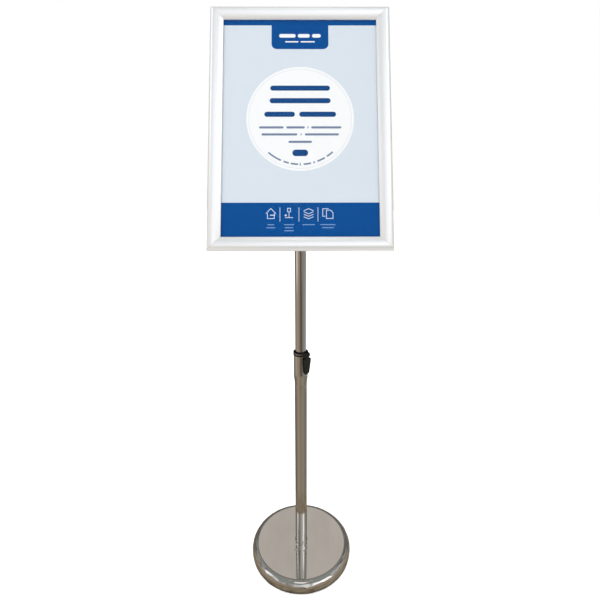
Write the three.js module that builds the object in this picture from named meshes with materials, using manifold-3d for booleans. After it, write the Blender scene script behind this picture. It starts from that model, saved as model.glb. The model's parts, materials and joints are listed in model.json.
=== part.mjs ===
// A free-standing sign stand: a weighted round base, a telescoping pole with a lever clamp,
// a tilting and turning head, and an A3 snap frame whose four front rails hinge open.
// Millimetres, +Z up. The origin is on the pole's axis where the base pad meets the floor,
// and the sign faces -Y.
import * as THREE from 'three';
import { mergeVertices } from 'three/addons/utils/BufferGeometryUtils.js';
import Module from 'manifold-3d';

const wasm = await Module();
wasm.setup();

// ---- Driving dimensions ----------------------------------------------------------------

const GAP = 0.3; // clearance left between touching pieces
const ROUND = 48; // facets around a tube
const DISC = 60; // facets around the base

const BASE = { radius: 112.5, top: 28, rim: 16, drop: 14, crown: 1.5, wall: 1.2, tuck: 3 };
const PAD = { radius: 106, thick: 2.5 };
const BALLAST = { radius: 103, top: 16, boss: 28 };

const BOLT = { shank: 4, hole: 4.3, head: 6.5, headThick: 5.3, end: 46 };
const BOLT_POCKET = { radius: 14, top: 13 };
const BASE_WASHER = { radius: 12, thick: 1.6 };

const LOWER = { radius: 13, wall: 1.1 };
const FLARE = { radius: 15, start: 421, full: 445, mouth: 487.5 };
const FOOT_BEAD = { radius: 14, height: 1.6 };
const FOOT_PLUG_TOP = 54;

const UPPER = { radius: 11.6, wall: 1.2, bottom: 396, top: 904 };
const GUIDE = { length: 26, flange: 2 };

const COLLAR = { inner: 11.95, lip: 15.8, groove: 14.4, lowLip: 1.1, highLip: 2.2, funnel: 3, top: 495 };
const BAND = { outer: 15.4, inner: 14.7, opening: 8.2 };
const SLEEVE = { bottom: 453, flange: 1.4 };
const LEVER_TURN = THREE.MathUtils.degToRad(45); // from the front towards +X
const PIN = { r: 17.6, z: 490.5, radius: 1.5, hole: 1.8 };
const CAM = { radius: 3.4, nose: 3.8, noseHalf: 0.5 };
// Half widths, and heights: the root ends above the shoulder, and the arm ends at the tip.
const LEVER = {
  root: 4.9, wide: 10, waist: 7.6, tip: 6.6, rootEnd: 484.8, shoulder: 481.5, narrow: 453, end: 448,
};
const LEVER_BACK = [[21.1, -4], [22, -8], [21.2, -16], [20, -27], [19.1, -37.5]]; // r, height from the pin
const EAR = { inner: 5.2, outer: 7.2, bottom: 485.5, reach: 20.2 };
const SHOE = { outer: 13.4, half: 4.7, bottom: 489.8, top: 493.5 };

const TILT_AXIS_Z = 928;
const TILT = THREE.MathUtils.degToRad(17); // the sign's lean back at rest
const TONGUE = { half: 10, round: 9 };
const HEAD_COLLAR = 4;
const TILT_BOLT = { shank: 3, hole: 3.3, head: 5.6, headThick: 4, end: 25 };
const SMALL_WASHER = { radius: 6.4, thick: 1 };
const KNOB = { radius: 14, depth: 14, flutes: 8 };
const KNOB_INSERT = { radius: 5, depth: 10 };

const SIGN = { width: 329, height: 452, depth: 12, toAxis: 33 };
const SNAP = { width: 25, crown: 9, edge: 7, wall: 1.4, lip: 1.6, lipUnder: 4.65, foot: 2.2 };
const MITRE_GAP = 0.3;
const A3 = { width: 297, height: 420 };
const PANEL = { width: 300, height: 423, back: 1.9, thick: 1 };
const POSTER = { back: 3.2, thick: 0.25 };
const COVER_SHEET = { back: 3.75, thick: 0.6 };
const SPRING = { width: 16, thick: 0.5, spread: 0.27 };
const CORNER = { outer: 4.2, inner: 11.2, leg: 46, bottom: 1.9, thick: 2.2 };

const PLATE = { size: 96, corner: 10, thick: 2.5, hub: 7.5, holes: 38 };
const RIVET = { shank: 1.9, hole: 2.2, head: 3.9, headThick: 1.3 };
const SWIVEL_WASHER = { radius: 29, thick: 0.8 };
const TILT_DISC = { radius: 30, thick: 2.5, lug: 2.5 };
const PIVOT = { shank: 4, hole: 4.3, head: 7, headThick: 3, washer: 8, washerThick: 1 };

// ---- Materials -------------------------------------------------------------------------

const finish = (color, roughness, metalness) => () =>
  new THREE.MeshStandardMaterial({ color, roughness, metalness });
const polishedSteel = finish(0xb4aca2, 0.12, 1);
const zincSteel = finish(0x9da1a6, 0.4, 1);
const castIron = finish(0x3b3a39, 0.75, 0.6);
const rubber = finish(0x1d1d1e, 0.9, 0);
const blackPlastic = finish(0x101011, 0.45, 0);
const whitePlastic = finish(0xd9d9d6, 0.5, 0);
const brass = finish(0xb08d4a, 0.35, 1);
const satinAluminium = finish(0xe9ebee, 0.38, 0.9);
const sheetSteel = finish(0xc9cccf, 0.45, 0.9);
const paper = finish(0xdde6ef, 0.85, 0);
const clearSheet = finish(0xf2f6f8, 0.12, 0);

// ---- Solids ----------------------------------------------------------------------------

// Shared vertices merged, empty triangles dropped and faces turned out.
function closed(geometry) {
  geometry.deleteAttribute('normal');
  geometry.deleteAttribute('uv');
  const merged = mergeVertices(geometry, 1e-4);
  const index = merged.index.array;
  const kept = [];
  for (let i = 0; i < index.length; i += 3) {
    const [a, b, c] = [index[i], index[i + 1], index[i + 2]];
    if (a !== b && b !== c && c !== a) kept.push(a, b, c);
  }
  if (volumeOf(merged, kept) < 0) kept.reverse();
  merged.setIndex(kept);
  return merged;
}

function volumeOf(geometry, index) {
  const p = geometry.attributes.position;
  const [a, b, c] = [new THREE.Vector3(), new THREE.Vector3(), new THREE.Vector3()];
  let volume = 0;
  for (let i = 0; i < index.length; i += 3) {
    a.fromBufferAttribute(p, index[i]);
    b.fromBufferAttribute(p, index[i + 1]);
    c.fromBufferAttribute(p, index[i + 2]);
    volume += a.dot(b.cross(c)) / 6;
  }
  return volume;
}

function toSolid(geometry) {
  const g = closed(geometry);
  return new wasm.Manifold(new wasm.Mesh({
    numProp: 3,
    vertProperties: new Float32Array(g.attributes.position.array),
    triVerts: new Uint32Array(g.index.array),
  }));
}

function fromSolid(solid) {
  const mesh = solid.getMesh();
  const geometry = new THREE.BufferGeometry();
  geometry.setAttribute('position', new THREE.BufferAttribute(mesh.vertProperties, 3));
  geometry.setIndex(new THREE.BufferAttribute(mesh.triVerts, 1));
  return geometry;
}

function cut(geometry, ...tools) {
  return fromSolid(tools.reduce((solid, tool) => solid.subtract(toSolid(tool)), toSolid(geometry)));
}

function join(geometry, ...others) {
  return fromSolid(others.reduce((solid, other) => solid.add(toSolid(other)), toSolid(geometry)));
}

function common(geometry, other) {
  return fromSolid(toSolid(geometry).intersect(toSolid(other)));
}

// A profile of [radius, height] pairs turned about Z. Off the axis it must close on itself.
function turned(profile, facets = ROUND) {
  const points = profile.map(([r, z]) => new THREE.Vector2(r, z));
  const geometry = new THREE.LatheGeometry(points, facets);
  geometry.rotateX(Math.PI / 2);
  return closed(geometry);
}

function tube(outer, inner, bottom, top, facets = ROUND) {
  const loop = [[inner, bottom], [outer, bottom], [outer, top], [inner, top], [inner, bottom]];
  return turned(loop, facets);
}

function rod(radius, bottom, top, facets = 24) {
  return turned([[0, bottom], [radius, bottom], [radius, top], [0, top]], facets);
}

// A box by its lowest and highest corners.
function block(low, high) {
  const [w, d, h] = high.map((value, i) => value - low[i]);
  const geometry = new THREE.BoxGeometry(w, d, h);
  geometry.translate(...high.map((value, i) => (value + low[i]) / 2));
  return geometry;
}

// A flat outline of [x, y] points, extruded from z = from to z = to.
function slab(outline, from, to) {
  const shape = new THREE.Shape(outline.map((p) => new THREE.Vector2(...p)));
  const geometry = new THREE.ExtrudeGeometry(shape, { depth: to - from, bevelEnabled: false });
  geometry.translate(0, 0, from);
  return geometry;
}

// Turns geometry made along Z so that it runs along X.
const alongX = (geometry) => geometry.rotateY(Math.PI / 2);
// Turns geometry made along Z so that its +Z points to the sign's front, -Y.
const towardsFront = (geometry) => geometry.rotateX(Math.PI / 2);

// Points of an arc from one angle to another, both in degrees.
function arc(cx, cy, rx, ry, from, to, steps) {
  return Array.from({ length: steps + 1 }, (_, i) => {
    const angle = THREE.MathUtils.degToRad(from + ((to - from) * i) / steps);
    return [cx + rx * Math.cos(angle), cy + ry * Math.sin(angle)];
  });
}

function roundedSquare(size, corner) {
  const h = size / 2;
  const c = h - corner;
  const quarter = (x, y, from) => arc(x, y, corner, corner, from, from + 90, 5);
  return [...quarter(c, c, 0), ...quarter(-c, c, 90), ...quarter(-c, -c, 180), ...quarter(c, -c, 270)];
}

const model = new THREE.Group();
model.name = 'sign_stand';

function add(name, geometry, material, group = model) {
  const mesh = new THREE.Mesh(closed(geometry), material());
  mesh.name = name;
  group.add(mesh);
  return mesh;
}

// ---- Weighted base ---------------------------------------------------------------------

// The spun cover: a slightly crowned top, level under the pole, and a rim that rolls over and
// tucks in at the floor, one wall thick.
function baseCover() {
  const { radius, top, rim, drop, crown, wall, tuck } = BASE;
  const shoulder = radius - rim;
  const seat = FOOT_BEAD.radius + 1;
  const fall = (r) => crown * ((r - seat) / (shoulder - seat)) ** 2;
  const side = top - drop;
  const skin = (inset) => [
    [BOLT.hole, top - inset], [seat, top - inset],
    ...[0.5, 0.75].map((t) => seat + (shoulder - seat) * t).map((r) => [r, top - fall(r) - inset]),
    ...arc(shoulder, side, rim - inset, drop - crown - inset, 90, 0, 7),
    ...arc(radius - tuck, side, tuck - inset, side - 1.2, 0, -60, 3).slice(1),
  ];
  const outer = skin(0);
  return turned([...outer, ...skin(wall).reverse(), outer[0]], DISC);
}

function addBase() {
  const ballastBottom = PAD.thick + GAP;
  const bossTop = BASE.top - BASE.wall - GAP;
  const pocket = BOLT_POCKET;
  const ballast = [
    [pocket.radius, ballastBottom], [BALLAST.radius, ballastBottom], [BALLAST.radius, BALLAST.top],
    [BALLAST.boss + 6, BALLAST.top], [BALLAST.boss, bossTop], [BOLT.hole, bossTop],
    [BOLT.hole, pocket.top], [pocket.radius, pocket.top], [pocket.radius, ballastBottom],
  ];
  add('base_cover', baseCover(), polishedSteel);
  add('base_weight', turned(ballast, DISC), castIron);
  add('base_pad', rod(PAD.radius, 0, PAD.thick, DISC), rubber);

  const washerTop = pocket.top - GAP;
  const washerBottom = washerTop - BASE_WASHER.thick;
  add('base_bolt_washer', tube(BASE_WASHER.radius, BOLT.hole, washerBottom, washerTop, 32), zincSteel);
  const headTop = washerBottom - GAP;
  const head = rod(BOLT.head, headTop - BOLT.headThick, headTop, 6);
  add('base_bolt', join(head, rod(BOLT.shank, headTop - 1, BOLT.end)), zincSteel);
}

// ---- Lower tube and its lever clamp ----------------------------------------------------

function lowerTube() {
  const bottom = BASE.top + GAP;
  const { radius, wall } = LOWER;
  const outer = [
    [FOOT_BEAD.radius, bottom], [FOOT_BEAD.radius, bottom + FOOT_BEAD.height / 2],
    [radius, bottom + FOOT_BEAD.height], [radius, FLARE.start],
    [FLARE.radius, FLARE.full], [FLARE.radius, FLARE.mouth],
  ];
  const inner = [
    [radius - wall, bottom], [radius - wall, FLARE.start],
    [FLARE.radius - wall, FLARE.full], [FLARE.radius - wall, FLARE.mouth],
  ];
  return turned([...outer, ...inner.reverse(), outer[0]]);
}

// The guide bush inside the flare, with a thin flange over its mouth, split down the back.
function clampSleeve() {
  const outer = FLARE.radius - LOWER.wall - GAP;
  const flangeBottom = FLARE.mouth + GAP;
  const flangeTop = flangeBottom + SLEEVE.flange;
  const body = turned([
    [COLLAR.inner, SLEEVE.bottom], [outer, SLEEVE.bottom], [outer, flangeBottom],
    [COLLAR.lip, flangeBottom], [COLLAR.lip, flangeTop], [COLLAR.inner, flangeTop],
    [COLLAR.inner, SLEEVE.bottom],
  ]);
  const leverNotch = block([outer - 1, -EAR.inner, flangeBottom - 1], [20, EAR.inner, flangeTop + 1]);
  const split = block([-20, -1, SLEEVE.bottom - 1], [0, 1, flangeTop + 1]);
  return cut(body, leverNotch, split);
}

const COLLAR_BOTTOM = FLARE.mouth + GAP + SLEEVE.flange + GAP;

// The exposed collar: two lips around a groove, a funnelled top, and two ears that carry the
// lever's pin. It is made with the lever towards +X and turned into place afterwards.
function clampCollar() {
  const bottom = COLLAR_BOTTOM;
  const { inner, lip, groove, lowLip, highLip, funnel, top } = COLLAR;
  const chamfer = 0.6;
  const ring = turned([
    [inner, bottom], [lip, bottom], [lip, bottom + lowLip], [groove, bottom + lowLip],
    [groove, top - highLip], [lip, top - highLip], [lip, top - chamfer],
    [lip - chamfer, top], [lip - 2 * chamfer, top], [inner, top - funnel], [inner, bottom],
  ]);
  // An ear slants outwards from the collar's top and hangs past its underside.
  const root = inner + 2;
  const side = FLARE.radius + 0.5;
  const ear = [
    [root, top - COLLAR.funnel / 2], [lip - chamfer, top], [EAR.reach - 1.8, top],
    [EAR.reach - 0.2, top - 3], [EAR.reach, top - 7], [EAR.reach - 0.6, EAR.bottom + 1.6],
    [EAR.reach - 2.6, EAR.bottom], [side, EAR.bottom], [side, bottom], [root, bottom],
  ];
  const ears = slab(ear, -EAR.outer, EAR.outer).rotateX(Math.PI / 2);
  const slot = block([0, -EAR.inner, EAR.bottom - 1], [30, EAR.inner, top + 1]);
  const bore = rod(inner, EAR.bottom - 1, top + 1, ROUND);
  const pinHole = rod(PIN.hole, -EAR.outer - 1, EAR.outer + 1).rotateX(Math.PI / 2);
  pinHole.translate(PIN.r, 0, PIN.z);
  return cut(join(ring, ears), slot, bore, pinHole);
}

// The steel band sprung into the collar's groove, open where the ears stand.
function clampBand() {
  const [bottom, top] = [COLLAR_BOTTOM + COLLAR.lowLip + GAP, COLLAR.top - COLLAR.highLip - GAP];
  const band = tube(BAND.outer, BAND.inner, bottom, top);
  const { opening } = BAND;
  return cut(band, block([0, -opening, COLLAR_BOTTOM], [20, opening, COLLAR.top]));
}

// The lever, closed: a cam around the pin and an arm that hangs along the flare.
function clampLever() {
  const { r, z } = PIN;
  const inside = FLARE.radius + 0.9; // the arm's inner face clears the flare
  const side = [
    ...arc(r, z, CAM.radius, CAM.radius, 130, 0, 8),
    ...LEVER_BACK.map(([x, height]) => [x, z + height]),
    ...arc(17.5, LEVER.end + 2, 1.5, 2, 0, -180, 5),
    [inside, LEVER.narrow + 3], [inside, z - 6.5],
    ...arc(r, z, CAM.radius, CAM.radius, 255, 215, 3),
    [r - CAM.nose, z - CAM.noseHalf], [r - CAM.nose, z + CAM.noseHalf],
  ];
  const arm = slab(side, -LEVER.wide, LEVER.wide).rotateX(Math.PI / 2);
  // Seen from outside: narrow between the ears, wide at the shoulder, tapering to the tip.
  const edge = [
    [LEVER.waist, LEVER.narrow], [LEVER.wide, LEVER.shoulder],
    [LEVER.root, LEVER.rootEnd], [LEVER.root, z + 6],
  ];
  const face = [
    ...edge.map(([half, height]) => [-half, height]).reverse(),
    ...arc(0, LEVER.end + 4, LEVER.tip, 4, 190, 350, 8),
    ...edge,
  ];
  const plan = slab(face, 10, 25).rotateX(Math.PI / 2).rotateZ(Math.PI / 2);
  const pinHole = rod(PIN.hole, -20, 20).rotateX(Math.PI / 2);
  pinHole.translate(r, 0, z);
  return cut(common(arm, plan), pinHole);
}

function clampShoe() {
  const ring = tube(SHOE.outer, COLLAR.inner, SHOE.bottom, SHOE.top, ROUND);
  return common(ring, block([5, -SHOE.half, SHOE.bottom - 1], [20, SHOE.half, SHOE.top + 1]));
}

function addLowerPole() {
  const plugBottom = BASE.top + GAP;
  const plugRadius = LOWER.radius - LOWER.wall - GAP;
  add('foot_plug', tube(plugRadius, BOLT.hole, plugBottom, FOOT_PLUG_TOP, 40), zincSteel);
  add('lower_tube', lowerTube(), polishedSteel);

  const clamp = new THREE.Group();
  clamp.rotation.z = LEVER_TURN - Math.PI / 2;
  model.add(clamp);
  const pin = rod(PIN.radius, -EAR.outer, EAR.outer, 16).rotateX(Math.PI / 2);
  pin.translate(PIN.r, 0, PIN.z);
  add('clamp_bush', clampSleeve(), blackPlastic, clamp);
  add('clamp_collar', clampCollar(), blackPlastic, clamp);
  add('clamp_band', clampBand(), polishedSteel, clamp);
  add('clamp_lever', clampLever(), blackPlastic, clamp);
  add('clamp_shoe', clampShoe(), blackPlastic, clamp);
  add('lever_pin', pin, zincSteel, clamp);
}

// ---- Telescoping upper tube and its head -----------------------------------------------

function guidePlug() {
  const { radius, wall, bottom } = UPPER;
  const neck = radius - wall - GAP;
  return turned([
    [5, bottom - GAP - GUIDE.flange], [radius, bottom - GAP - GUIDE.flange], [radius, bottom - GAP],
    [neck, bottom - GAP], [neck, bottom + GUIDE.length], [5, bottom + GUIDE.length],
    [5, bottom - GAP - GUIDE.flange],
  ]);
}

// The plug in the tube's top, with a tongue that the tilt bolt crosses.
function headFitting() {
  const { radius, wall, top } = UPPER;
  const collarBottom = top + GAP;
  const plug = turned([
    [0, top - 24], [radius - wall - GAP, top - 24], [radius - wall - GAP, collarBottom],
    [radius, collarBottom], [radius, collarBottom + HEAD_COLLAR], [0, collarBottom + HEAD_COLLAR],
  ]);
  const tongueOutline = [
    [TONGUE.round, collarBottom + 1],
    ...arc(0, TILT_AXIS_Z, TONGUE.round, TONGUE.round, 0, 180, 14),
    [-TONGUE.round, collarBottom + 1],
  ];
  const plate = slab(tongueOutline, -TONGUE.half, TONGUE.half).rotateX(Math.PI / 2).rotateZ(Math.PI / 2);
  const tongue = common(plate, rod(TONGUE.half + 0.9, collarBottom, TILT_AXIS_Z + 20, ROUND));
  const boltHole = alongX(rod(TILT_BOLT.hole, -20, 20));
  boltHole.translate(0, 0, TILT_AXIS_Z);
  return cut(join(plug, tongue), boltHole);
}

// A round knob with shallow flutes and a blind socket for its insert, from x = start outwards.
function tiltKnob(start) {
  const { radius, depth, flutes } = KNOB;
  const body = turned([
    [0, start], [radius - 3, start], [radius, start + 3], [radius, start + depth - 2],
    [radius - 2, start + depth], [0, start + depth],
  ], 40);
  const grooves = Array.from({ length: flutes }, (_, i) => {
    const angle = ((i + 0.5) / flutes) * 2 * Math.PI;
    const groove = rod(3, start - 1, start + depth + 1, 12);
    return groove.translate((radius + 1.4) * Math.cos(angle), (radius + 1.4) * Math.sin(angle), 0);
  });
  const socket = rod(KNOB_INSERT.radius + GAP, start - 1, start + KNOB_INSERT.depth + 1);
  return alongX(cut(body, socket, ...grooves));
}

function addUpperPole() {
  const { radius, wall, bottom, top } = UPPER;
  add('upper_tube', tube(radius, radius - wall, bottom, top), polishedSteel);
  add('guide_plug', guidePlug(), whitePlastic);
  add('head_fitting', headFitting(), zincSteel);

  const head = new THREE.Group();
  head.position.z = TILT_AXIS_Z;
  model.add(head);
  const lugFace = TONGUE.half + GAP + TILT_DISC.lug;
  const { radius: washerRadius, thick } = SMALL_WASHER;
  const washer = (from) => alongX(tube(washerRadius, TILT_BOLT.hole, from, from + thick, 24));
  const washerStart = lugFace + GAP;
  const seat = washerStart + thick + GAP;
  const hexHead = rod(TILT_BOLT.head, -seat - TILT_BOLT.headThick, -seat, 6);
  const bolt = alongX(join(hexHead, rod(TILT_BOLT.shank, -seat - 1, TILT_BOLT.end, 20)));
  add('tilt_bolt', bolt, zincSteel, head);
  add('tilt_washer_left', washer(-washerStart - thick), zincSteel, head);
  add('tilt_washer_right', washer(washerStart), zincSteel, head);
  add('tilt_knob', tiltKnob(seat), blackPlastic, head);
  const insert = tube(KNOB_INSERT.radius, TILT_BOLT.hole, seat + GAP, seat + KNOB_INSERT.depth, 24);
  add('tilt_knob_insert', alongX(insert), brass, head);
}

// ---- Tilting bracket and turning plate -------------------------------------------------

// Everything from here on is built in the sign's own frame, whose origin is the tilt axis,
// with +Z up along the sign and -Y towards its front. A depth is measured from the frame's
// back plane towards the front.
const sign = new THREE.Group();
sign.position.z = TILT_AXIS_Z;
sign.rotation.x = -TILT;
model.add(sign);

const BACK_PLANE = SIGN.toAxis - SIGN.depth; // from the tilt axis to the frame's back
const plateBack = BACK_PLANE + PANEL.back - GAP - PLATE.thick; // distances in front of the axis
const washerBack = plateBack - GAP - SWIVEL_WASHER.thick;
const discBack = washerBack - GAP - TILT_DISC.thick;

function tiltBracket() {
  const disc = towardsFront(rod(TILT_DISC.radius, discBack, discBack + TILT_DISC.thick, ROUND));
  const inner = TONGUE.half + GAP;
  const lugOutline = [
    ...arc(0, 0, TONGUE.round, TONGUE.round, 90, -90, 12),
    [-discBack - 1, -TONGUE.round - 3], [-discBack - 1, TONGUE.round + 3],
  ];
  const lug = (from) => {
    const flat = slab(lugOutline, from, from + TILT_DISC.lug);
    return flat.rotateX(Math.PI / 2).rotateZ(Math.PI / 2);
  };
  const boltHole = alongX(rod(TILT_BOLT.hole, -30, 30));
  const pivotHole = towardsFront(rod(PIVOT.hole, 0, 40));
  return cut(join(disc, lug(inner), lug(-inner - TILT_DISC.lug)), boltHole, pivotHole);
}

function mountPlate() {
  const front = plateBack + PLATE.thick;
  const square = slab(roundedSquare(PLATE.size, PLATE.corner), plateBack, front);
  const hub = rod(PLATE.hub, plateBack + 1, front + GAP + PANEL.thick - 0.1, 32);
  const tools = [rod(PIVOT.hole, 0, 60)];
  for (const [x, y] of plateCorners()) tools.push(rod(RIVET.hole, 0, 60, 16).translate(x, y, 0));
  return towardsFront(cut(join(square, hub), ...tools));
}

const plateCorners = () => [[-1, 1], [1, 1], [1, -1], [-1, -1]].map((p) => p.map((v) => v * PLATE.holes));

function addHeadPlates() {
  add('tilt_bracket', tiltBracket(), zincSteel, sign);
  const washer = tube(SWIVEL_WASHER.radius, PIVOT.hole, washerBack, washerBack + SWIVEL_WASHER.thick, ROUND);
  add('swivel_washer', towardsFront(washer), whitePlastic, sign);

  const springTop = discBack - GAP;
  const spring = tube(PIVOT.washer, PIVOT.hole, springTop - PIVOT.washerThick, springTop, 24);
  add('pivot_spring_washer', towardsFront(spring), zincSteel, sign);
  const headTop = springTop - PIVOT.washerThick - GAP;
  const head = rod(PIVOT.head, headTop - PIVOT.headThick, headTop, 24);
  const bolt = join(head, rod(PIVOT.shank, headTop - 1, plateBack + PLATE.thick + 0.8));
  add('pivot_bolt', towardsFront(bolt), zincSteel, sign);

  add('mount_plate', mountPlate(), zincSteel, sign);
  plateCorners().forEach(([x, y], i) => {
    const capTop = plateBack - GAP;
    const cap = rod(RIVET.head, capTop - RIVET.headThick, capTop, 20);
    const rivet = join(cap, rod(RIVET.shank, capTop - 0.5, BACK_PLANE + PANEL.back + PANEL.thick - 0.1, 14));
    add(`plate_rivet_${i + 1}`, towardsFront(rivet.translate(x, y, 0)), zincSteel, sign);
  });
}

// ---- Snap frame ------------------------------------------------------------------------

// Rail sections are [inset, depth] points: inset from the frame's outer edge, depth from its back.
const baseRailSection = [
  [0.5, 0], [24, 0], [24, 1.6], [13, 1.6], [13, 4.4], [11.6, 4.4], [11.6, 1.6],
  [3.8, 1.6], [3.8, 5.6], [2.3, 5.6], [2.3, 1.9], [0.5, 1.9],
];

// The snap rail's convex face rises in a quarter ellipse from its foot at the outer edge to
// the crown, then falls gently to the lip that holds the sheet.
function snapRailSection() {
  const { width, crown, edge, wall, lip, lipUnder, foot } = SNAP;
  const spring = 4; // where the outer quarter ellipse starts
  const skin = (inset) => {
    const rise = arc(crown, spring, crown - 0.2 - inset, SIGN.depth - spring - inset, 180, 90, 7);
    const fall = [0.25, 0.5, 0.75, 1].map((t) => {
      const end = width - (inset ? lip : 0);
      return [crown + (end - crown) * t, SIGN.depth - inset - (SIGN.depth - edge) * t * t];
    });
    return [...rise, ...fall];
  };
  return [
    [0.2, foot], ...skin(0), [width, lipUnder], [width - lip, lipUnder],
    ...skin(wall).reverse(), [0.2 + wall, foot],
  ];
}

// A rail with both ends mitred at 45 degrees: each section point stops short by its inset.
function mitredRail(section, length) {
  const geometry = slab(section, 0, 1);
  const p = geometry.attributes.position;
  for (let i = 0; i < p.count; i += 1) {
    const half = length / 2 - p.getX(i) - MITRE_GAP;
    p.setZ(i, (2 * p.getZ(i) - 1) * half);
  }
  return geometry;
}

// Moves a shape from (inset, depth, along) to the bottom side of the frame, then to side i
// of bottom, left, top and right.
const SIDES = [
  { name: 'bottom', length: SIGN.width, half: SIGN.height / 2, turn: 0 },
  { name: 'left', length: SIGN.height, half: SIGN.width / 2, turn: Math.PI / 2 },
  { name: 'top', length: SIGN.width, half: SIGN.height / 2, turn: Math.PI },
  { name: 'right', length: SIGN.height, half: SIGN.width / 2, turn: -Math.PI / 2 },
];

function onSide(geometry, side) {
  const map = new THREE.Matrix4().set(
    0, 0, 1, 0,
    0, -1, 0, -BACK_PLANE,
    1, 0, 0, -side.half,
    0, 0, 0, 1,
  );
  return closed(geometry).applyMatrix4(map).rotateY(side.turn);
}

// A strip of constant thickness along a bent path, as a closed outline.
function stripOutline(path, thick) {
  const points = path.map((p) => new THREE.Vector2(...p));
  const offset = points.map((p, i) => {
    const before = i > 0 ? p.clone().sub(points[i - 1]).normalize() : null;
    const after = i < points.length - 1 ? points[i + 1].clone().sub(p).normalize() : null;
    const along = (before ?? after).clone().add(after ?? before).normalize();
    const normal = new THREE.Vector2(-along.y, along.x);
    const edge = after ?? before;
    const stretch = thick / Math.max(0.5, normal.dot(new THREE.Vector2(-edge.y, edge.x)));
    return [p.x + normal.x * stretch, p.y + normal.y * stretch];
  });
  return [...path, ...offset.reverse()];
}

const springPath = [[4.4, 3.6], [5.2, 2.2], [7, 1.95], [9.2, 3.2], [10.9, 6.2], [10.2, 8.8]];

function addSnapFrame() {
  for (const side of SIDES) {
    const rail = (section) => onSide(mitredRail(section, side.length), side);
    add(`base_rail_${side.name}`, rail(baseRailSection), satinAluminium, sign);
    add(`snap_rail_${side.name}`, rail(snapRailSection()), satinAluminium, sign);
    [-1, 1].forEach((end, i) => {
      const spring = slab(stripOutline(springPath, SPRING.thick), -SPRING.width / 2, SPRING.width / 2);
      spring.translate(0, 0, end * side.length * SPRING.spread);
      add(`leaf_spring_${side.name}_${i + 1}`, onSide(spring, side), zincSteel, sign);
    });
  }
}

// An L-shaped plate in the channels of two neighbouring base rails.
function addCornerBrackets() {
  const { outer, inner, leg, bottom, thick } = CORNER;
  const outline = [[outer, outer], [leg, outer], [leg, inner], [inner, inner], [inner, leg], [outer, leg]];
  const corners = { bottom_left: [-1, -1], bottom_right: [1, -1], top_right: [1, 1], top_left: [-1, 1] };
  for (const [name, [sx, sz]] of Object.entries(corners)) {
    const placed = outline.map(([x, z]) => [sx * (SIGN.width / 2 - x), sz * (SIGN.height / 2 - z)]);
    const from = BACK_PLANE + bottom;
    add(`corner_bracket_${name}`, towardsFront(slab(placed, from, from + thick)), zincSteel, sign);
  }
}

function sheet(width, height, depth, thick) {
  const from = BACK_PLANE + depth;
  return block([-width / 2, -from - thick, -height / 2], [width / 2, -from, height / 2]);
}

function addSheets() {
  const tools = [towardsFront(rod(PLATE.hub + GAP, 0, 60, 32))];
  for (const [x, y] of plateCorners()) {
    tools.push(towardsFront(rod(RIVET.hole, 0, 60, 16).translate(x, y, 0)));
  }
  const panel = cut(sheet(PANEL.width, PANEL.height, PANEL.back, PANEL.thick), ...tools);
  add('back_panel', panel, sheetSteel, sign);
  add('poster', sheet(A3.width, A3.height, POSTER.back, POSTER.thick), paper, sign);
  add('cover_sheet', sheet(A3.width, A3.height, COVER_SHEET.back, COVER_SHEET.thick), clearSheet, sign);
}

addBase();
addLowerPole();
addUpperPole();
addHeadPlates();
addSnapFrame();
addCornerBrackets();
addSheets();

export default model;
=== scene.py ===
"""The sign stand's looks: smooth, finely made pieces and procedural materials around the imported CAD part.

Every shape is made in millimetres in the same frame as the CAD and scaled to metres at the end.
A depth on the sign is measured from the snap frame's back plane towards its front.
"""

import json
import math

import bmesh
import bpy
from mathutils import Matrix, Vector, noise


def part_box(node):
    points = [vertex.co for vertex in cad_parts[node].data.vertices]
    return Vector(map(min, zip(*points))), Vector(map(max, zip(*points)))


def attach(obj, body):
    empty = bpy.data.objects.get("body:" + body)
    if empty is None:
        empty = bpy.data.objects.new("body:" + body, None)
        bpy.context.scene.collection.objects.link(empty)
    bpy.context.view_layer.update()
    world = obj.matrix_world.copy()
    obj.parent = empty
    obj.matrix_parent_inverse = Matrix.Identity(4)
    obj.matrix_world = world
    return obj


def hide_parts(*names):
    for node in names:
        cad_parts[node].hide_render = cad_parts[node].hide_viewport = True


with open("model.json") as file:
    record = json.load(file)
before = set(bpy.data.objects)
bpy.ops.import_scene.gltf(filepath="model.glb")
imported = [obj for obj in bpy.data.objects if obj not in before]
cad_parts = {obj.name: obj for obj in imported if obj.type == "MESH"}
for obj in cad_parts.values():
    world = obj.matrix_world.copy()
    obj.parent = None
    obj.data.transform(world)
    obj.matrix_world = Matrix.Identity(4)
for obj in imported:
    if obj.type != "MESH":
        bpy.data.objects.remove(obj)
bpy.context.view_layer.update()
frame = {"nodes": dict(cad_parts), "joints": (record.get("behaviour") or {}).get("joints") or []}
joints = {joint["name"]: joint for joint in frame["joints"]}

MM = 0.001
WHERE = Matrix.Identity(4)

# ---- Camera ----------------------------------------------------------------------------

CAMERA_PLACE = (0.0006, -0.7859, 0.8286)
CAMERA_PITCH = 12.26  # degrees below the horizon
CAMERA_YAW = -0.32
CAMERA_ROLL = -0.07
LENS = 24.14  # mm on a 36 mm sensor


def add_camera():
    data = bpy.data.cameras.new("camera")
    data.lens = LENS
    data.sensor_width = 36
    data.shift_x = -0.0051
    data.shift_y = -0.0425
    camera = bpy.data.objects.new("camera", data)
    bpy.context.scene.collection.objects.link(camera)
    turn = (
        Matrix.Rotation(math.radians(CAMERA_YAW), 4, "Z")
        @ Matrix.Rotation(math.radians(90 - CAMERA_PITCH), 4, "X")
        @ Matrix.Rotation(math.radians(CAMERA_ROLL), 4, "Z")
    )
    camera.matrix_world = Matrix.Translation(CAMERA_PLACE) @ turn
    bpy.context.scene.camera = camera


add_camera()

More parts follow.
